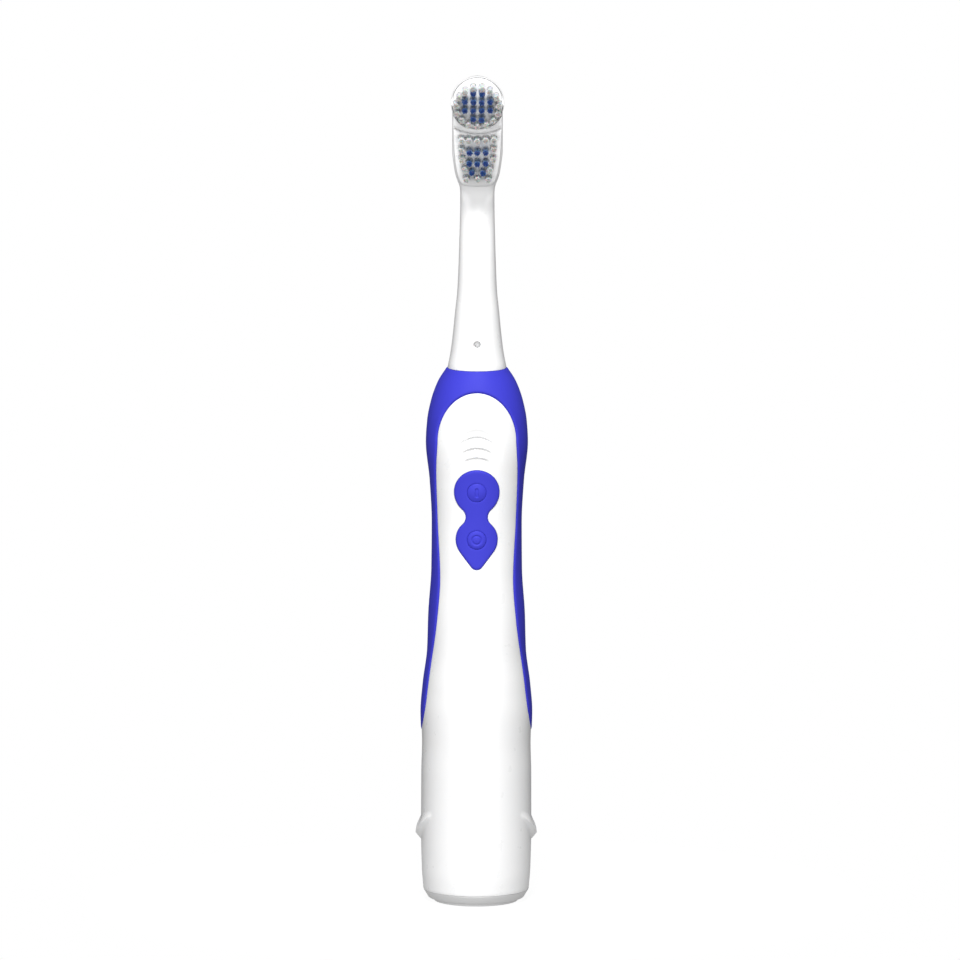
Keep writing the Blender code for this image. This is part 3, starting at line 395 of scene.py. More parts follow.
def pad_outline(grow):
    """Circle, waist fillets and a teardrop with a round tip; each grow gives a parallel line."""
    reach_upper = PAD_UPPER_R + PAD_WAIST_R
    reach_lower = PAD_LOWER_R + PAD_WAIST_R
    apart = PAD_UPPER_Z - PAD_LOWER_Z
    drop = (reach_upper ** 2 - reach_lower ** 2 + apart ** 2) / (2 * apart)
    fillet = (math.sqrt(reach_upper ** 2 - drop ** 2), PAD_UPPER_Z - drop)
    to_upper = math.degrees(math.atan2(drop, fillet[0]))
    to_lower = math.degrees(math.atan2(PAD_LOWER_Z - fillet[1], fillet[0]))
    tip = (0.0, PAD_TIP_Z + PAD_TIP_R)
    taper = -math.degrees(math.asin((PAD_LOWER_R - PAD_TIP_R) / (PAD_LOWER_Z - tip[1])))
    right = np.vstack([
        arc((0.0, PAD_UPPER_Z), PAD_UPPER_R + grow, 90, -to_upper, 40),
        arc(fillet, PAD_WAIST_R - grow, 180 - to_upper, 180 - to_lower, 12)[1:-1],
        arc((0.0, PAD_LOWER_Z), PAD_LOWER_R + grow, -to_lower, taper, 20),
        arc(tip, PAD_TIP_R + grow, taper, -90, 10)])
    return resample(mirrored(right), 0.22, closed=True)[:-1]


# ---------------------------------------------------------------- meshes

def triangulate(points, open_lines=(), closed_lines=()):
    """Triangles over 2D points that keep the given lines as edges."""
    coords = [tuple(p) for p in points]
    edges = []
    for lines, closed in ((open_lines, False), (closed_lines, True)):
        for line in lines:
            start = len(coords)
            coords += [tuple(p) for p in line]
            edges += [(start + i, start + i + 1) for i in range(len(line) - 1)]
            if closed:
                edges.append((start + len(line) - 1, start))
    found = delaunay_2d_cdt([Vector(p) for p in coords], edges, [], 0, 1e-5)
    return np.array([tuple(v) for v in found[0]]), np.array([tuple(f) for f in found[2]])


def grid(low, high, step):
    """Staggered points over a rectangle, in rows that are an even distance apart."""
    rows = max(2, int(round((high[1] - low[1]) / (step * 0.87))))
    found = []
    for r in range(1, rows):
        z = low[1] + (high[1] - low[1]) * r / rows
        count = max(2, int(round((high[0] - low[0]) / step)))
        shift = 0.5 * (r % 2)
        for c in range(count):
            x = low[0] + (high[0] - low[0]) * (c + 0.25 + shift) / count
            if low[0] + 0.3 * step < x < high[0] - 0.3 * step:
                found.append((x, z))
    return np.array(found)


def linked(name, data):
    item = bpy.data.objects.new(name, data)
    bpy.context.scene.collection.objects.link(item)
    return item


def shade(mesh, sharp=SHARP):
    mesh.shade_smooth()
    mesh.set_sharp_from_angle(angle=math.radians(sharp))


def weld(bm):
    bmesh.ops.remove_doubles(bm, verts=bm.verts, dist=WELD)
    bmesh.ops.dissolve_degenerate(bm, edges=bm.edges, dist=WELD)


def make_object(name, points, faces, sharp=SHARP):
    """A closed mesh from points in millimetres, with coincident points welded."""
    mesh = bpy.data.meshes.new(name)
    corners = [tuple(int(i) for i in f) for f in faces]
    mesh.from_pydata((np.asarray(points) * MM).tolist(), [], corners)
    bm = bmesh.new()
    bm.from_mesh(mesh)
    weld(bm)
    bmesh.ops.recalc_face_normals(bm, faces=bm.faces)
    bm.to_mesh(mesh)
    bm.free()
    shade(mesh, sharp)
    return linked(name, mesh)


def between(outer, inner, faces, seam=None):
    """Points and faces of the solid between two mapped copies of one triangulation."""
    count = len(outer)
    directed = {(a, b) for f in faces for a, b in zip(f, np.roll(f, -1))}
    walls = []
    for a, b in directed:
        if (b, a) in directed or (seam is not None and seam[a] and seam[b]):
            continue
        walls.append((b, a, a + count, b + count))
    shell = [tuple(f) for f in faces] + [tuple(f[::-1] + count) for f in faces] + walls
    return np.vstack([outer, inner]), shell


def kept(verts, faces, keep):
    """The faces that pass, with only the points that they use."""
    used, flat = np.unique(faces[keep], return_inverse=True)
    return verts[used], flat.reshape(-1, 3)


def lofted(rings, closed=False):
    """Points and quads over rings of equal length, capped at both ends unless closed."""
    count = len(rings[0])
    points = np.vstack(rings)
    faces = []
    spans = len(rings) if closed else len(rings) - 1
    for r in range(spans):
        a, b = r * count, ((r + 1) % len(rings)) * count
        for c in range(count):
            d = (c + 1) % count
            faces.append((a + c, a + d, b + d, b + c))
    if not closed:
        for ring, start in ((rings[0], 0), (rings[-1], (len(rings) - 1) * count)):
            middle = len(points)
            points = np.vstack([points, np.mean(ring, axis=0)[None, :]])
            faces += [(start + c, start + (c + 1) % count, middle) for c in range(count)]
    return points, faces


def oval(half_width, half_depth, height, middle_y=0.0, sides=128):
    turn = np.linspace(0, math.tau, sides, endpoint=False)
    return np.stack([half_width * np.cos(turn), middle_y + half_depth * np.sin(turn),
                     np.full(sides, float(height))], -1)


def turned(profile, sides=96, closed=False):
    """A profile of (radius, height) turned about the upright axis."""
    return lofted([oval(r, r, z, sides=sides) for r, z in profile], closed)


def turned_level(profile, height, sides, x=0.0):
    """A profile of (radius, y) turned about an axis that runs from front to back."""
    points, faces = turned(profile, sides)
    return np.stack([points[:, 0] + x, points[:, 2], points[:, 1] + height], -1), faces


def join(*parts):
    """Several (points, faces) pairs as one."""
    points, faces, start = [], [], 0
    for part_points, part_faces in parts:
        points.append(part_points)
        faces += [tuple(i + start for i in f) for f in part_faces]
        start += len(part_points)
    return np.vstack(points), faces


def carve(item, *cutters):
    """Cuts closed bodies out of a piece and leaves the result as its mesh."""
    for number, (points, faces) in enumerate(cutters):
        tool = make_object(item.name + "_cutter_" + str(number), points, faces)
        step = item.modifiers.new("cut", "BOOLEAN")
        step.operation = "DIFFERENCE"
        step.solver = "EXACT"
        step.object = tool
    graph = bpy.context.evaluated_depsgraph_get()
    mesh = bpy.data.meshes.new_from_object(item.evaluated_get(graph))
    item.modifiers.clear()
    item.data = mesh
    for tool in [o for o in bpy.data.objects if o.name.startswith(item.name + "_cutter_")]:
        bpy.data.objects.remove(tool)
    bm = bmesh.new()
    bm.from_mesh(mesh)
    weld(bm)
    bmesh.ops.triangulate(bm, faces=[f for f in bm.faces if len(f.verts) > 4])
    bm.to_mesh(mesh)
    bm.free()
    shade(mesh)


def merge(item, others):
    """Adds the meshes of other objects to a piece, and removes those objects."""
    bm = bmesh.new()
    bm.from_mesh(item.data)
    for other in others:
        bm.from_mesh(other.data)
        bpy.data.objects.remove(other)
    bm.to_mesh(item.data)
    bm.free()
    shade(item.data)


def place(item, body, slot, *nodes, look=None):
    """A piece's body, its slot in the record, the CAD nodes it stands for, and its material."""
    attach(item, body)
    if nodes:
        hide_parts(*nodes)
    item.data.materials.clear()
    item.data.materials.append(MATERIAL[look or slot])
    return item


# ---------------------------------------------------------------- materials

MATERIAL = {}


def fill(node, **values):
    """Sets a node's sockets by name, with _ where the name has a space."""
    for socket, value in values.items():
        node.inputs[socket.replace("_", " ")].default_value = value


def base_material(name):
    material = bpy.data.materials.new(name)
    material.use_nodes = True
    shader = material.node_tree.nodes["Principled BSDF"]
    return material, material.node_tree, shader


def noise(tree, scale, detail=3.0, roughness=0.5, stretch=(1, 1, 1)):
    """Noise over the object's own space; scale counts cells per metre."""
    nodes, links = tree.nodes, tree.links
    coordinate = nodes.new("ShaderNodeTexCoord")
    mapping = nodes.new("ShaderNodeMapping")
    fill(mapping, Scale=stretch)
    texture = nodes.new("ShaderNodeTexNoise")
    fill(texture, Scale=scale, Detail=detail, Roughness=roughness)
    links.new(coordinate.outputs["Object"], mapping.inputs["Vector"])
    links.new(mapping.outputs["Vector"], texture.inputs["Vector"])
    return texture.outputs["Fac"]


def ramp(tree, factor, stops):
    node = tree.nodes.new("ShaderNodeValToRGB")
    node.color_ramp.elements[0].position = stops[0][0]
    node.color_ramp.elements[0].color = (*stops[0][1], 1)
    node.color_ramp.elements[1].position = stops[-1][0]
    node.color_ramp.elements[1].color = (*stops[-1][1], 1)
    for position, color in stops[1:-1]:
        node.color_ramp.elements.new(position).color = (*color, 1)
    tree.links.new(factor, node.inputs["Fac"])
    return node.outputs["Color"]


def spread(tree, factor, low, high):
    node = tree.nodes.new("ShaderNodeMapRange")
    fill(node, From_Min=0.3, From_Max=0.7, To_Min=low, To_Max=high)
    tree.links.new(factor, node.inputs["Value"])
    return node.outputs["Result"]


def bump(tree, shader, height, distance, strength):
    node = tree.nodes.new("ShaderNodeBump")
    fill(node, Distance=distance, Strength=strength)
    tree.links.new(height, node.inputs["Height"])
    tree.links.new(node.outputs["Normal"], shader.inputs["Normal"])


def finish(name, color, darker, rough, grain, metallic=0.0, subsurface=0.0, stretch=(1, 1, 1),
           **sockets):
    """Mottled colour, uneven gloss and a grain of (cells per metre, depth in metres, strength)."""
    material, tree, shader = base_material(name)
    mottle = noise(tree, 60.0, 4.0, stretch=stretch)
    tree.links.new(ramp(tree, mottle, [(0.3, darker), (0.7, color)]), shader.inputs["Base Color"])
    gloss = noise(tree, 220.0, 3.0, stretch=stretch)
    tree.links.new(spread(tree, gloss, *rough), shader.inputs["Roughness"])
    bump(tree, shader, noise(tree, grain[0], 3.0, 0.6, stretch), grain[1], grain[2])
    fill(shader, Metallic=metallic, **sockets)
    if subsurface:
        fill(shader, Subsurface_Weight=subsurface, Subsurface_Scale=0.002,
             Subsurface_Radius=(1.0, 0.9, 0.8))
    MATERIAL[name] = material


def bristle_material(name, root, tip, rough):
    """Nylon filament: the colour runs from a lighter root to a darker tip, painted light and shade
    on the tufts, and light passes into it.
    """
    material, tree, shader = base_material(name)
    coordinate = tree.nodes.new("ShaderNodeTexCoord")
    parts = tree.nodes.new("ShaderNodeSeparateXYZ")
    tree.links.new(coordinate.outputs["Object"], parts.inputs["Vector"])
    reach = tree.nodes.new("ShaderNodeMapRange")
    fill(reach, From_Min=TUFT_ROOT * MM, From_Max=TUFT_TIP * MM)
    tree.links.new(parts.outputs["Y"], reach.inputs["Value"])
    # Painted shade: the tips are darker than the roots.
    tree.links.new(ramp(tree, reach.outputs["Result"], [(0.0, root), (0.80, root), (0.97, tip)]),
                   shader.inputs["Base Color"])
    fill(shader, Roughness=rough, Subsurface_Weight=0.35, Subsurface_Scale=0.0008)
    bump(tree, shader, noise(tree, 9000.0, 2.0), 0.00002, 0.2)
    MATERIAL[name] = material


finish("white_abs", (0.86, 0.86, 0.86), (0.854, 0.854, 0.856), (0.27, 0.31),
       (2600.0, 0.00001, 0.03), subsurface=0.08)
# The base cap's greyer white is painted shade: the cap is the same white plastic as the body.
finish("cap_abs", (0.71, 0.71, 0.71), (0.70, 0.70, 0.70), (0.30, 0.36),
       (2600.0, 0.00001, 0.03), subsurface=0.05)
finish("blue_tpe", (0.043, 0.044, 0.51), (0.040, 0.041, 0.49), (0.50, 0.62),
       (5200.0, 0.00002, 0.30), Specular_IOR_Level=0.15)
finish("white_nylon", (0.80, 0.80, 0.78), (0.74, 0.74, 0.72), (0.38, 0.50),
       (3200.0, 0.00002, 0.25), subsurface=0.25)
# The darker tips are painted shade on the tufts; the lighter blue roots are painted light on their
# sides.
bristle_material("white_bristle", (0.84, 0.84, 0.84), (0.52, 0.52, 0.51), 0.35)
bristle_material("blue_bristle", (0.16, 0.28, 0.48), (0.018, 0.058, 0.25), 0.35)
finish("grey_plastic", (0.26, 0.26, 0.27), (0.20, 0.20, 0.21), (0.42, 0.56),
       (3000.0, 0.00002, 0.3))
finish("black_rubber", (0.03, 0.03, 0.03), (0.02, 0.02, 0.02), (0.62, 0.78),
       (4200.0, 0.00003, 0.4))
finish("steel", (0.62, 0.62, 0.63), (0.52, 0.52, 0.54), (0.18, 0.34),
       (1500.0, 0.00001, 0.35), metallic=1.0, stretch=(1, 1, 0.08))
finish("copper", (0.80, 0.38, 0.20), (0.62, 0.26, 0.13), (0.22, 0.36),
       (3800.0, 0.00002, 0.35), metallic=1.0, stretch=(1, 1, 4))
finish("brass", (0.78, 0.60, 0.28), (0.64, 0.47, 0.20), (0.20, 0.34),
       (1800.0, 0.00001, 0.3), metallic=1.0)
finish("ferrite", (0.10, 0.10, 0.105), (0.06, 0.06, 0.065), (0.50, 0.70),
       (2400.0, 0.00003, 0.5))
finish("cell_label", (0.17, 0.18, 0.20), (0.13, 0.14, 0.155), (0.28, 0.38),
       (900.0, 0.00002, 0.2), Coat_Weight=0.5)


# ---------------------------------------------------------------- handle

def under_arc(x, z, middle, half, drop):
    """How much of an arc is left at x, and how far a point is below it."""
    return np.clip(1 - (x / half) ** 2, 0, 1), middle - drop * (x / half) ** 2 - z


def ridge_offset(x, z):
    """Three scooped arcs above the pad, and the soft hollow around them."""
    found = np.zeros_like(x)
    for *line, depth in RIDGES:
        share, below = under_arc(x, z, *line)
        step = smooth(below / RIDGE_EDGE) * np.clip(1 - below / RIDGE_FADE, 0, 1) ** 1.4
        found -= depth * np.sqrt(share) * step
    *line, depth = HALO
    share, below = under_arc(x, z, *line)
    found -= depth * share ** 0.7 * smooth(below / 1.3) * smooth((6.0 - below) / 4.5)
    return found


def lug_offset(angle, z):
    """Chevrons at both sides: lowest in the middle, fading out to both ends."""
    share = (np.abs(angle) - math.pi / 2) / LUG_SWEEP
    fade = np.clip(1 - share ** 2, 0, 1)
    crest = LUG_Z + LUG_RISE * np.abs(share)
    above = np.clip(1 - (z - crest) / (1.1 + 2.6 * fade), 0, 1)
    below = np.clip(1 - (crest - z) / (0.7 + 1.1 * fade), 0, 1)
    slope = np.where(z > crest, above ** 1.25, below ** 0.8)
    return LUG_REACH * fade * slope


def wall_at(z):
    return WALL + WALL_EXTRA * np.clip((z - 37.0) / 6.0, 0, 1)


def skin_grid():
    """Flat skin points: coarse everywhere, fine around the ridges and the lugs."""
    coarse = grid((-HALF_TURN, HANDLE_BOTTOM), (HALF_TURN, HANDLE_TOP), 1.15)
    turn, z = np.abs(coarse[:, 0]), coarse[:, 1]
    half, low, high = FINE_FRONT
    front = (turn < half) & (z > low) & (z < high)
    ridges = grid((-half, low), (half, high), 0.24)
    half, low, high = FINE_LUG
    side = (np.abs(turn - HALF_TURN / 2) < half) & (z > low) & (z < high)
    lug = grid((HALF_TURN / 2 - half, low), (HALF_TURN / 2 + half, high), 0.36)
    return np.vstack([coarse[~front & ~side], ridges, lug, lug * (-1, 1)])


def skin_border(low_roll, high_roll, low, high):
    """Rows just inside both ends of the skin, and its two seams."""
    row_z = [low + d for d in low_roll] + [high - d for d in high_roll]
    turns = np.linspace(-HALF_TURN, HALF_TURN, 89)
    rows = [np.stack([turns, np.full(89, z)], -1) for z in row_z]
    seam_z = np.unique(np.concatenate([np.arange(low, high + 0.01, 1.0), row_z]))
    seams = [np.stack([np.full(len(seam_z), s * HALF_TURN), seam_z], -1) for s in (-1, 1)]
    return rows, seams


def on_seam(flat):
    return np.abs(np.abs(flat[:, 0]) - HALF_TURN) < 1e-4


def skin_points(flat):
    return skin_frame(flat[:, 0] / SKIN_SCALE, flat[:, 1])


def far_from_edge(flat, reach):
    point = skin_points(flat)[0]
    return np.abs(edge_distance(point)) > reach


def make_handle_shell():
    """White body: flush panel with scooped arcs, side lugs, a grip recess and a pad hole."""
    edge_x = (-0.34, -0.22, -0.12, -0.04, 0.02, 0.10)
    edge_y = (0.0, -0.02, -0.07, -0.17, -0.40, -1.0)
    roll = (0.0, 0.04, 0.1)
    rows, seams = skin_border(roll, (0.0,), HANDLE_BOTTOM, HANDLE_TOP)
    edges = [edge_line(d) for d in edge_x]

    def to_skin(outline):
        half = handle_half(outline[:, 1])[0]
        return np.stack([np.arcsin(outline[:, 0] / half) * SKIN_SCALE, outline[:, 1]], -1)
    hole = [to_skin(pad_outline(g)) for g in (PAD_GAP, 0.05, 0.09, 0.18)]
    points = skin_grid()
    points = points[far_from_edge(points, 0.62)]
    points = points[outline_distance(points, to_skin(pad_outline(0.75))) < 0]
    points = points[(points[:, 1] > HANDLE_BOTTOM + 0.7) & (points[:, 1] < HANDLE_TOP - 0.5)]
    crest = []
    for side in (-1, 1):
        share = np.linspace(-1, 1, 61)
        turn = side * (math.pi / 2 + LUG_SWEEP * share) * SKIN_SCALE
        crest.append(np.stack([turn, LUG_Z + LUG_RISE * np.abs(share)], -1))
    verts, faces = triangulate(points, rows + seams + edges + crest, hole)
    verts, faces = kept(verts, faces, outline_distance(verts[faces].mean(1), hole[0]) < 0)
    point, _, _, normal = skin_points(verts)
    angle, z = verts[:, 0] / SKIN_SCALE, verts[:, 1]
    offset = np.interp(edge_distance(point), edge_x, edge_y)
    front = np.abs(angle) < 1.2
    offset += np.where(front, ridge_offset(point[:, 0], z), 0.0)
    offset += lug_offset(angle, z)
    flat_front = np.stack([point[:, 0], z], -1)
    around_hole = np.where(front, -outline_distance(flat_front, pad_outline(PAD_GAP)), 9.0)
    offset += rolled(around_hole, HOLE_ROLL)
    offset += rolled(z - HANDLE_BOTTOM, roll[-1])
    outer = point + normal * offset[:, None]
    outer[:, 2] = np.where(z < HANDLE_BOTTOM + 0.01, HANDLE_BOTTOM, outer[:, 2])
    half = handle_half(z) - wall_at(z)
    half = np.where(z > CAVITY_TOP, NOZZLE_HOLE_R, half)
    inner = np.stack([half[0] * np.sin(angle), -half[1] * np.cos(angle), z], -1)
    shell = make_object("handle_shell", *between(outer, inner, faces, on_seam(verts)))
    return place(shell, "handle", "white_abs", "handle_body")


def make_grip():
    """Soft blue skin let into the shell, with a rolled lip all along the panel."""
    edge_x = (0.08, 0.16, 0.29, 0.46, 0.70, 1.00)
    edge_y = (-0.55, -0.20, 0.02, 0.14, 0.20, 0.22)
    rows, seams = skin_border((), (0.0, 0.05, 0.12, 0.22, 0.5), GRIP_LOWEST, HANDLE_TOP)
    edges = [edge_line(d) for d in edge_x]
    points = grid((-HALF_TURN, GRIP_LOWEST), (HALF_TURN, HANDLE_TOP), 1.1)
    points = points[far_from_edge(points, 1.3)]
    points = points[points[:, 1] < HANDLE_TOP - 0.9]
    verts, faces = triangulate(points, rows + seams + edges)
    middle = skin_points(verts[faces].mean(1))[0]
    verts, faces = kept(verts, faces, edge_distance(middle) > edge_x[0])
    point, _, _, normal = skin_points(verts)
    z = verts[:, 1]
    offset = np.interp(edge_distance(point), edge_x, edge_y)
    offset += rolled(HANDLE_TOP - z, 0.22)
    outer = point + normal * offset[:, None]
    outer[:, 2] = np.minimum(outer[:, 2], HANDLE_TOP)
    inner = point - normal * GRIP_THICKNESS
    inner[:, 2] = np.where(z > HANDLE_TOP - GRIP_THICKNESS, z, inner[:, 2])
    grip = make_object("grip", *between(outer, inner, faces, on_seam(verts)))
    return place(grip, "handle", "blue_tpe", "grip_overmold")


def on_front(flat, offset):
    """Points over the handle's front for (x, height) pairs, moved outwards."""
    half = handle_half(flat[:, 1])[0]
    angle = np.arcsin(np.clip(flat[:, 0] / half, -1, 1))
    point, _, _, normal = skin_frame(angle, flat[:, 1])
    return point + normal * np.broadcast_to(offset, len(flat))[:, None]


def make_pad():
    """Blue pad, proud of the panel, with a rolled rim and a round well for each button."""
    rim_x = (-0.01, 0.05, 0.14, 0.30, 0.55, 0.90)
    rim_y = (-0.50, -0.06, 0.14, 0.27, 0.34, 0.36)
    well_x = (0.0, 0.08, 0.2)
    centers = ((0.0, PAD_UPPER_Z), (0.0, PAD_LOWER_Z))
    lines = [pad_outline(-d) for d in rim_x]
    lines += [circle(c, BUTTON_R + d, 72) for c in centers for d in well_x]
    points = grid((-7.0, 95.0), (7.0, 125.0), 0.5)
    points = points[outline_distance(points, lines[0]) > 1.2]
    points = points[nearest(points, centers) > BUTTON_R + 0.45]
    verts, faces = triangulate(points, (), lines)
    middle = verts[faces].mean(1)
    solid = (outline_distance(middle, lines[0]) > 0) & (nearest(middle, centers) > BUTTON_R)
    verts, faces = kept(verts, faces, solid)
    offset = np.interp(outline_distance(verts, lines[0]), rim_x, rim_y)
    offset += np.interp(nearest(verts, centers) - BUTTON_R, well_x, (-0.07, -0.02, 0.0))
    outer, inner = on_front(verts, offset), on_front(verts, -PAD_DEPTH)
    pad = make_object("pad", *between(outer, inner, faces), sharp=60)
    return place(pad, "handle", "blue_tpe", "button_pad")


def make_button(name, height, body, node, relief, marks):
    """A soft round button: a dome with a moulded mark, on a stem."""
    points = grid((-BUTTON_R, height - BUTTON_R), (BUTTON_R, height + BUTTON_R), 0.13)
    points = points[np.hypot(points[:, 0], points[:, 1] - height) < 2.14]
    marks = [line + (0.0, height) for line in marks]
    for line in marks:
        near = np.linalg.norm(points[:, None] - line[None], axis=-1).min(1)
        points = points[near > 0.06]
    rings = [circle((0.0, height), r, 72) for r in (DOME_R, 2.60, 2.46, 2.24)]
    verts, faces = triangulate(points, (), rings + marks)
    middle = verts[faces].mean(1)
    verts, faces = kept(verts, faces, np.hypot(middle[:, 0], middle[:, 1] - height) < DOME_R)
    x, z = verts[:, 0], verts[:, 1] - height
    away = np.hypot(x, z)
    rim = np.interp(DOME_R - away, (0, 0.06, 0.2, 0.42), (-0.10, -0.05, -0.01, 0.0))
    outer = on_front(verts, 0.36 + relief(x, z, away) + rim)
    dome = between(outer, upright(verts, BUTTON_BACK), faces)
    stem = turned_level([(1.3, STEM_FRONT), (1.3, STEM_FRONT + 1.9), (1.15, STEM_FRONT + 2.0)],
                        height, 32)
    button = make_object(name, *join(dome, stem), sharp=60)
    return place(button, body, "blue_tpe", node)


def bar_outline(radius):
    line = np.vstack([arc((0.0, BAR_HALF), radius, 0, 180, 14),
                      arc((0.0, -BAR_HALF), radius, 180, 360, 14)])
    return resample(line, 0.11, closed=True)[:-1]


def on_relief(x, z, away):
    """A dome with a recessed upright bar."""
    bar = np.hypot(x, z - np.clip(z, -BAR_HALF, BAR_HALF)) - 0.42
    return 0.46 * (1 - (away / DOME_R) ** 2) - 0.24 * smooth((0.10 - bar) / 0.2)


def off_relief(x, z, away):
    """A low dome with a recessed ring around a raised dot."""
    ring = np.exp(-((away - 1.22) / 0.24) ** 2)
    dish = 0.34 * (1 - (away / DOME_R) ** 4)
    return dish - 0.24 * ring + 0.06 * np.exp(-(away / 0.42) ** 2)


# ---------------------------------------------------------------- cap, nozzle and shaft

def make_cap():
    """Base cap: foot ring, recess with a coin slot, chamfered rim and a grooved spigot."""
    profile = [
        (2.0, 2.0, 0.8), (8.9, 8.9, 0.8), (9.25, 9.25, 0.74), (9.45, 9.45, 0.5),
        (9.5, 9.5, 0.2), (9.6, 9.6, 0.06), (9.8, 9.8, 0.0), (11.55, 12.35, 0.0),
        (11.8, 12.6, 0.07), (11.92, 12.72, 0.25), (12.05, 12.85, 0.75), (12.15, 12.95, 0.9),
        (12.4, 13.2, 0.97), (13.2, 14.0, 1.0), (13.42, 14.22, 1.06), (13.6, 14.45, 1.2),
        (14.52, 15.62, 2.75), (14.72, 15.84, 3.1), (14.78, 15.90, 3.24), (14.72, 15.84, 3.34),
        (13.5, 13.8, 3.34), (13.0, 13.0, 3.34), (13.0, 13.0, 4.3), (12.95, 12.95, 4.4),
        (11.85, 11.85, 4.4), (11.85, 11.85, 6.2), (12.95, 12.95, 6.2), (13.0, 13.0, 6.3),
        (13.0, 13.0, 6.8), (12.8, 12.8, 7.0), (11.2, 11.2, 7.0), (11.0, 11.0, 6.8),
        (11.0, 11.0, 3.6), (3.0, 3.0, 3.6),
    ]
    cap = make_object("cap", *lofted([oval(a, b, z, sides=144) for a, b, z in profile]))
    slot = np.vstack([arc((6.4, 0.0), 1.1, -90, 90, 12), arc((-6.4, 0.0), 1.1, 90, 270, 12)])
    rings = [np.column_stack([slot * grow, np.full(len(slot), z)])
             for grow, z in (((1.05, 1.35), 0.6), (1.0, 0.98), (1.0, 1.9), (0.97, 2.0))]
    carve(cap, lofted(rings))
    # The cap is drawn in the greyer material, painted shade on the white cap.
    return place(cap, "cap", "white_abs", "base_cap", look="cap_abs")


def make_nozzle():
    profile = [
        (3.9, 168.0), (4.05, 167.92), (4.5, 166.4), (4.58, 166.1), (4.6, 165.8), (4.6, 146.0),
        (4.6, 144.7), (6.75, 144.7), (6.8, 144.65), (6.8, 142.6), (3.2, 142.6), (3.2, 148.3),
        (1.9, 148.3), (1.9, 167.8), (2.0, 168.0),
    ]
    nozzle = make_object("nozzle_body", *turned(profile, 112, closed=True))
    return place(nozzle, "handle", "white_abs", "nozzle")


def make_shaft():
    low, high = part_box("drive_shaft")
    foot, top = low.z / MM, high.z / MM
    profile = [(1.05, foot), (1.25, foot + 0.2), (1.25, top - 3.2), (1.22, top - 3.1),
               (1.12, top - 3.0), (1.12, top - 2.6), (1.22, top - 2.5), (1.25, top - 2.4),
               (1.25, top - 0.45), (1.1, top - 0.12), (0.8, top)]
    shaft = make_object("shaft", *turned(profile, 56))
    return place(shaft, "drive", "steel", "drive_shaft")


# ---------------------------------------------------------------- brush head

def head_section(z, sides=112):
    """Section of the neck and head: round in the neck, flat-fronted with a rounded back above."""
    half_width, half_depth, middle = neck_half(z)
    if z > DISC_Z:
        rise = (z - DISC_Z) / (NECK_TOP - DISC_Z)
        half_width = half_width * math.sqrt(max(1 - rise ** 2, 0.0))
        half_depth = half_depth * (1 - 0.12 * rise ** 6)
    change = float(smooth((z - 197.0) / 9.0))
    turn = np.linspace(0, math.tau, sides, endpoint=False)
    cos, sin = np.cos(turn), np.sin(turn)
    power = np.where(sin < 0, 2 + 5.0 * change, 2 + 1.4 * change)
    x = np.sign(cos) * np.abs(cos) ** (2 / power)
    y = np.sign(sin) * np.abs(sin) ** (2 / power)
    return np.stack([half_width * x, middle + half_depth * y, np.full(sides, float(z))], -1)


def block(*ends):
    """A solid through four-cornered sections of (half width, front y, back y, height)."""
    return lofted([np.array([(-w, front, z), (w, front, z), (w, back, z), (-w, back, z)])
                   for w, front, back, z in ends])


def make_neck_head():
    """Hollow neck that widens into the flat-fronted head behind the brushes."""
    heights = list(np.arange(152.2, 197.0, 1.6)) + list(np.arange(197.0, 227.0, 0.8))
    heights += [DISC_Z + (NECK_TOP - DISC_Z) * math.sin(math.radians(a)) for a in range(0, 90, 4)]
    start = neck_half(152.2)
    rings = [oval(start[0] - inset, start[1] - inset, z, sides=112)
             for inset, z in ((0.12, 151.97), (0.04, 152.01), (0.01, 152.1))]
    head = make_object("neck_head", *lofted(rings + [head_section(z) for z in heights]))
    bore = turned([(5.15, 151.0), (5.15, 152.3), (4.95, 152.9), (4.95, 169.0), (3.4, 169.0),
                   (3.3, 169.2), (3.3, 180.0)], 96)
    drain = turned_level([(1.9, -9.0), (1.25, -6.86), (1.02, -6.62), (0.95, -6.4), (0.95, -4.0)],
                         159.3, 48)
    pivot = turned_level([(1.0, 1.5), (1.0, 3.1)], DISC_Z, 48)
    channel = block((2.2, -1.2, 1.6, 179.0), (2.2, -1.2, 1.6, 207.0))
    pocket = block((4.2, -4.0, 1.9, 205.2), (4.6, -4.0, 1.9, 206.8), (5.2, -4.0, 1.9, 210.0),
                   (5.2, -4.0, 1.9, 231.0))
    fillers = [make_object("saddle", *make_saddle(side)) for side in (-1, 1)]
    fillers.append(make_object("gap_strip", *make_gap_strip()))
    carve(head, bore, channel, pocket, pivot, drain)
    merge(head, fillers)
    return place(head, "brush_head", "white_abs", "neck_shell")


def make_saddle(side):
    """What fills the corner between the disc, the plate and the side of the head."""
    x = np.linspace(SADDLE_X, PLATE_TOP_HALF_WIDTH, 14)
    low = SADDLE_LOW + x ** 2 / PLATE_HOLLOW
    high = DISC_Z - np.sqrt((DISC_R + SADDLE_GAP) ** 2 - x ** 2)
    line = np.vstack([np.column_stack([x, low]), np.column_stack([x, high])[::-1]]) * (side, 1)
    verts, faces = triangulate(grid(line.min(0), line.max(0), 0.4), (), [line])
    verts, faces = kept(verts, faces, outline_distance(verts[faces].mean(1), line) > 0)
    return between(upright(verts, SADDLE_FRONT), upright(verts, SADDLE_BACK), faces)


def make_gap_strip():
    """Closes the view into the head between the disc and the plate."""
    line = np.array([(-5.3, 218.2), (5.3, 218.2), (5.3, 221.4), (-5.3, 221.4)])
    return lofted([upright(line, y) for y in (-1.2, -2.0)])


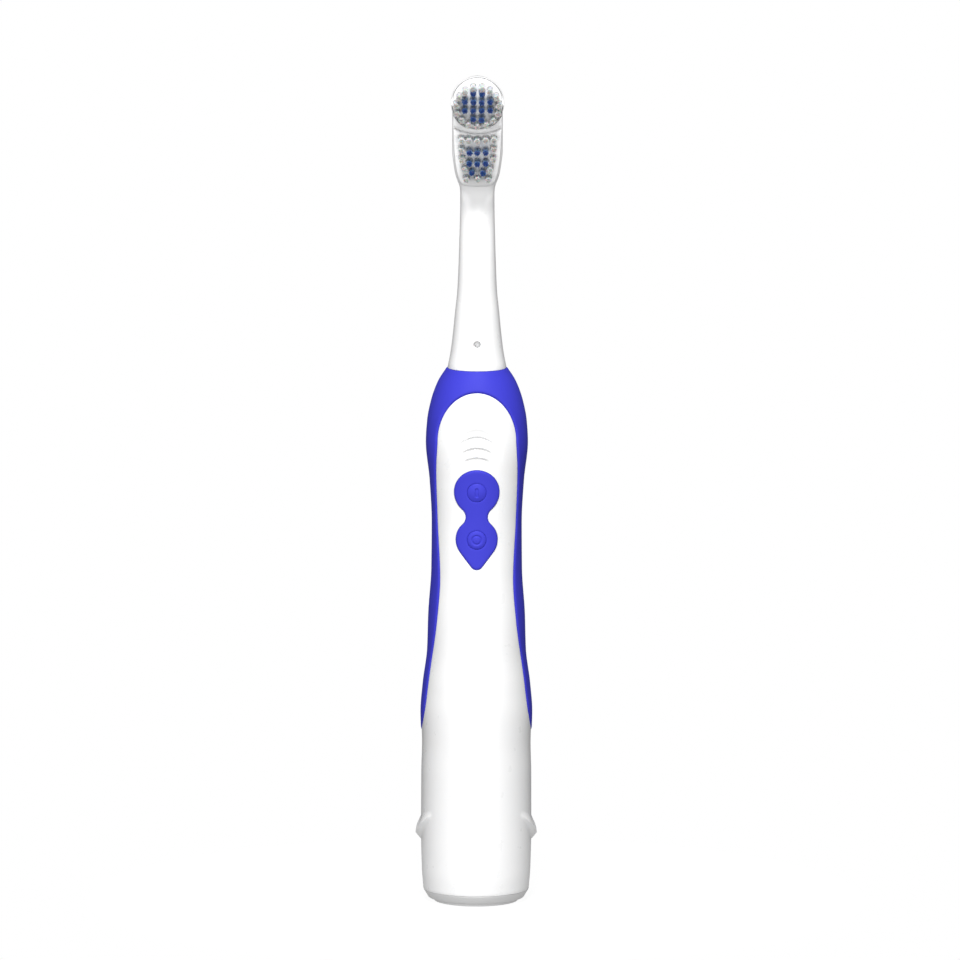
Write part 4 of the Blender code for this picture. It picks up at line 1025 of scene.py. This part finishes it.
def slab_patch(name, outline_at, profile, holes, *extra):
    """A plate with a moulded front edge and tuft sockets; profile is (distance in, y) rows."""
    reach, level = np.array(profile).T
    lines = [outline_at(-d) for d in reach]
    socket_x = (-0.12, 0.0, 0.1)
    sockets = [circle(h, TUFT_R + SOCKET_GAP + d, 24) for h in holes for d in socket_x]
    points = grid(lines[0].min(0), lines[0].max(0), 0.45)
    points = points[outline_distance(points, lines[-1]) > 0.25]
    away = nearest(points, holes)
    points = points[(away > TUFT_R + 0.3) | (away < TUFT_R - 0.3)]
    verts, faces = triangulate(points, (), lines + sockets)
    verts, faces = kept(verts, faces, outline_distance(verts[faces].mean(1), lines[0]) > 0)
    y = np.interp(outline_distance(verts, lines[0]), reach, level)
    y += np.interp(nearest(verts, holes) - TUFT_R - SOCKET_GAP, socket_x, (0.45, 0.08, 0.0))
    slab = between(upright(verts, y), upright(verts, BRUSH_BACK), faces)
    return make_object(name, *join(slab, *extra), sharp=50)


def disc_outline(grow):
    return circle((0.0, DISC_Z), DISC_R + grow, 132)


def make_disc():
    """Round bristle carrier with a rim groove, a hub and an off-centre drive pin."""
    profile = [(0.0, -3.3), (0.03, -3.5), (0.09, -3.58), (0.15, -3.56), (0.18, RIM_GROOVE),
               (0.38, RIM_GROOVE), (0.41, -3.62), (0.48, -3.9), (0.62, -4.12), (0.82, -4.28),
               (1.0, -4.34)]
    hub = turned_level([(1.7, -0.6), (1.7, BRUSH_BACK + 0.02)], DISC_Z, 40)
    pin = turned_level([(0.5, 1.4), (0.55, 1.3), (0.55, BRUSH_BACK + 0.02)], DISC_Z, 40, x=2.75)
    disc = slab_patch("disc", disc_outline, profile, DISC_WHITE + DISC_BLUE, hub, pin)
    # The groove around the rim fades out over the lower half.
    for vertex in disc.data.vertices:
        x, y, z = vertex.co / MM
        if y > -3.2 and abs(math.hypot(x, z - DISC_Z) - DISC_R + 0.28) < 0.12:
            keep = float(smooth((z - DISC_Z + 0.5) / 3.0))
            vertex.co.y = (y * keep + RIM_FILLED * (1 - keep)) * MM
    return place(disc, "disc", "white_abs", "oscillating_disc")


def plate_outline(grow):
    """Hollowed top edge, tapering sides and round bottom corners."""
    inset = -grow
    right = [(x, PLATE_TOP + x ** 2 / PLATE_HOLLOW - inset)
             for x in np.linspace(0, PLATE_TOP_HALF_WIDTH - inset, 16)]
    corner_z = PLATE_TOP + PLATE_TOP_HALF_WIDTH ** 2 / PLATE_HOLLOW - 0.2
    right += [(float(plate_half(z)[0]) - inset, z)
              for z in np.linspace(corner_z - inset, 204.4, 40)]
    right += [(2.9 - inset * 0.6, 204.02 + inset * 0.8), (1.5, 203.92 + inset),
              (0.0, 203.9 + inset)]
    return resample(mirrored(np.array(right)), 0.3, closed=True)[:-1]


def make_plate():
    """Lower bristle carrier, with a tab at its back that rides the push rod."""
    profile = [(0.0, -3.6), (0.05, -3.9), (0.16, -4.15), (0.32, -4.3), (0.55, -4.36)]
    tab = block((1.6, BRUSH_BACK - 0.02, -1.1, 207.5), (1.6, BRUSH_BACK - 0.02, -1.1, 213.5))
    plate = slab_patch("plate", plate_outline, profile, PLATE_BLUE + PLATE_WHITE, tab)
    return place(plate, "push_rod", "white_abs", "sliding_plate")


def make_tufts(name, places, body, slot, node, seed):
    """Round-tipped nylon filaments, packed into tufts that spread a little towards the tips."""
    rng = np.random.default_rng(seed)
    sides = FILAMENT_SIDES
    ring = circle((0.0, 0.0), 1.0, sides)
    spots = [(FILAMENT_PITCH * (i + 0.5 * (j % 2)), FILAMENT_PITCH * 0.87 * j)
             for i in range(-5, 6) for j in range(-5, 6)]
    spots = np.array([s for s in spots if math.hypot(*s) < TUFT_R - 0.06])
    filament = [(a + k, a + (k + 1) % sides, a + sides + (k + 1) % sides, a + sides + k)
                for a in range(0, 3 * sides, sides) for k in range(sides)]
    filament += [tuple(range(sides))[::-1], tuple(range(3 * sides, 4 * sides))]
    rings, faces = [], []
    for middle in places:
        lean = rng.normal(0, 0.07, 2)
        for spot in spots:
            root = np.array(middle) + spot + rng.normal(0, 0.015, 2)
            tip = root + spot * 0.10 + lean + rng.normal(0, 0.04, 2)
            crown = 0.22 * (np.hypot(*spot) / TUFT_R) ** 2
            end = TUFT_TIP + crown + rng.uniform(0, 0.28)
            start = len(rings) * sides
            faces += [tuple(start + i for i in face) for face in filament]
            for share in (0.0, 0.5, 1.0):
                center = root + (tip - root) * share ** 1.5
                y = TUFT_ROOT + (end + 0.08 - TUFT_ROOT) * share
                rings.append(upright(center + ring * FILAMENT_R, y))
            rings.append(upright(tip + ring * FILAMENT_R * 0.62, end))
    mesh = bpy.data.meshes.new(name)
    mesh.from_pydata((np.vstack(rings) * MM).tolist(), [], faces)
    shade(mesh, sharp=70)
    return place(linked(name, mesh), body, slot, node)


# ---------------------------------------------------------------- studio

def camera_ray_mix(tree, elsewhere, seen, socket):
    """Gives a glow one strength as seen directly and another as a source of light."""
    path = tree.nodes.new("ShaderNodeLightPath")
    strength = tree.nodes.new("ShaderNodeMapRange")
    fill(strength, To_Min=elsewhere, To_Max=seen)
    tree.links.new(path.outputs["Is Camera Ray"], strength.inputs["Value"])
    tree.links.new(strength.outputs["Result"], socket)


def make_floor():
    """A round pale table top that fades into the white surroundings."""
    rim = [(x, y, 0.0) for x, y in circle((0.0, 0.0), FLOOR_R, 96)]
    mesh = bpy.data.meshes.new("floor")
    mesh.from_pydata(rim, [], [tuple(range(len(rim)))])
    floor = linked("floor", mesh)
    material, tree, shader = base_material("floor")
    stops = [(0.3, (0.10, 0.10, 0.10)), (0.7, (0.12, 0.12, 0.12))]
    tree.links.new(ramp(tree, noise(tree, 3.0), stops), shader.inputs["Base Color"])
    fill(shader, Roughness=0.9, Specular_IOR_Level=0.1, Emission_Color=(1, 1, 1, 1))
    camera_ray_mix(tree, FLOOR_GLOW, FLOOR_SEEN, shader.inputs["Emission Strength"])
    mesh.materials.append(material)


def add_light(name, place_at, size, power):
    light = bpy.data.lights.new(name, "AREA")
    light.shape = "RECTANGLE"
    light.size, light.size_y = size
    light.energy = power
    item = linked(name, light)
    item.location = place_at
    facing = Vector(LIGHT_AIM) - Vector(place_at)
    item.rotation_euler = facing.to_track_quat("-Z", "Y").to_euler()


def make_studio():
    make_floor()
    for light in LIGHTS:
        add_light(*light)
    world = bpy.data.worlds.new("studio")
    bpy.context.scene.world = world
    world.use_nodes = True
    tree = world.node_tree
    background = tree.nodes["Background"]
    fill(background, Color=(1, 1, 1, 1))
    camera_ray_mix(tree, SURROUND_LIGHT, SURROUND_SEEN, background.inputs["Strength"])
    bpy.context.scene.view_settings.view_transform = "Standard"


def make_camera():
    camera = bpy.data.cameras.new("camera")
    camera.sensor_width = 36.0
    camera.lens = CAMERA_LENS
    camera.clip_end = 60.0
    item = linked("camera", camera)
    aim = Vector(CAMERA_AIM)
    back = Vector((0, -math.cos(CAMERA_TILT), math.sin(CAMERA_TILT)))
    item.location = aim + CAMERA_DISTANCE * back
    facing = (aim - item.location).to_track_quat("-Z", "Y").to_matrix()
    item.rotation_euler = (facing @ Matrix.Rotation(CAMERA_ROLL, 3, "Z")).to_euler()
    bpy.context.scene.camera = item


def dress_frame():
    """Gives every CAD node its material, by the slot that its imported material is named for."""
    for node in frame["nodes"].values():
        for slot in node.material_slots:
            name = slot.material.name.split(".")[0] if slot.material else ""
            if name in MATERIAL:
                slot.material = MATERIAL[name]


make_camera()
dress_frame()
make_handle_shell()
make_grip()
make_pad()
make_button("on_dome", PAD_UPPER_Z, "on_button", "on_button", on_relief,
            [bar_outline(r) for r in (0.32, 0.40, 0.48)])
make_button("off_dome", PAD_LOWER_Z, "off_button", "off_button", off_relief,
            [circle((0.0, 0.0), r, 60) for r in (0.85, 1.04, 1.22, 1.4, 1.6)])
make_cap()
make_nozzle()
make_shaft()
make_neck_head()
make_disc()
make_plate()
for tufts in (
        ("disc_white_tufts", DISC_WHITE, "disc", "white_bristle", "disc_white_bristles", 11),
        ("disc_blue_tufts", DISC_BLUE, "disc", "blue_bristle", "disc_blue_bristles", 12),
        ("plate_white_tufts", PLATE_WHITE, "push_rod", "white_bristle", "plate_white_bristles", 13),
        ("plate_blue_tufts", PLATE_BLUE, "push_rod", "blue_bristle", "plate_blue_bristles", 14)):
    make_tufts(*tufts)
make_studio()
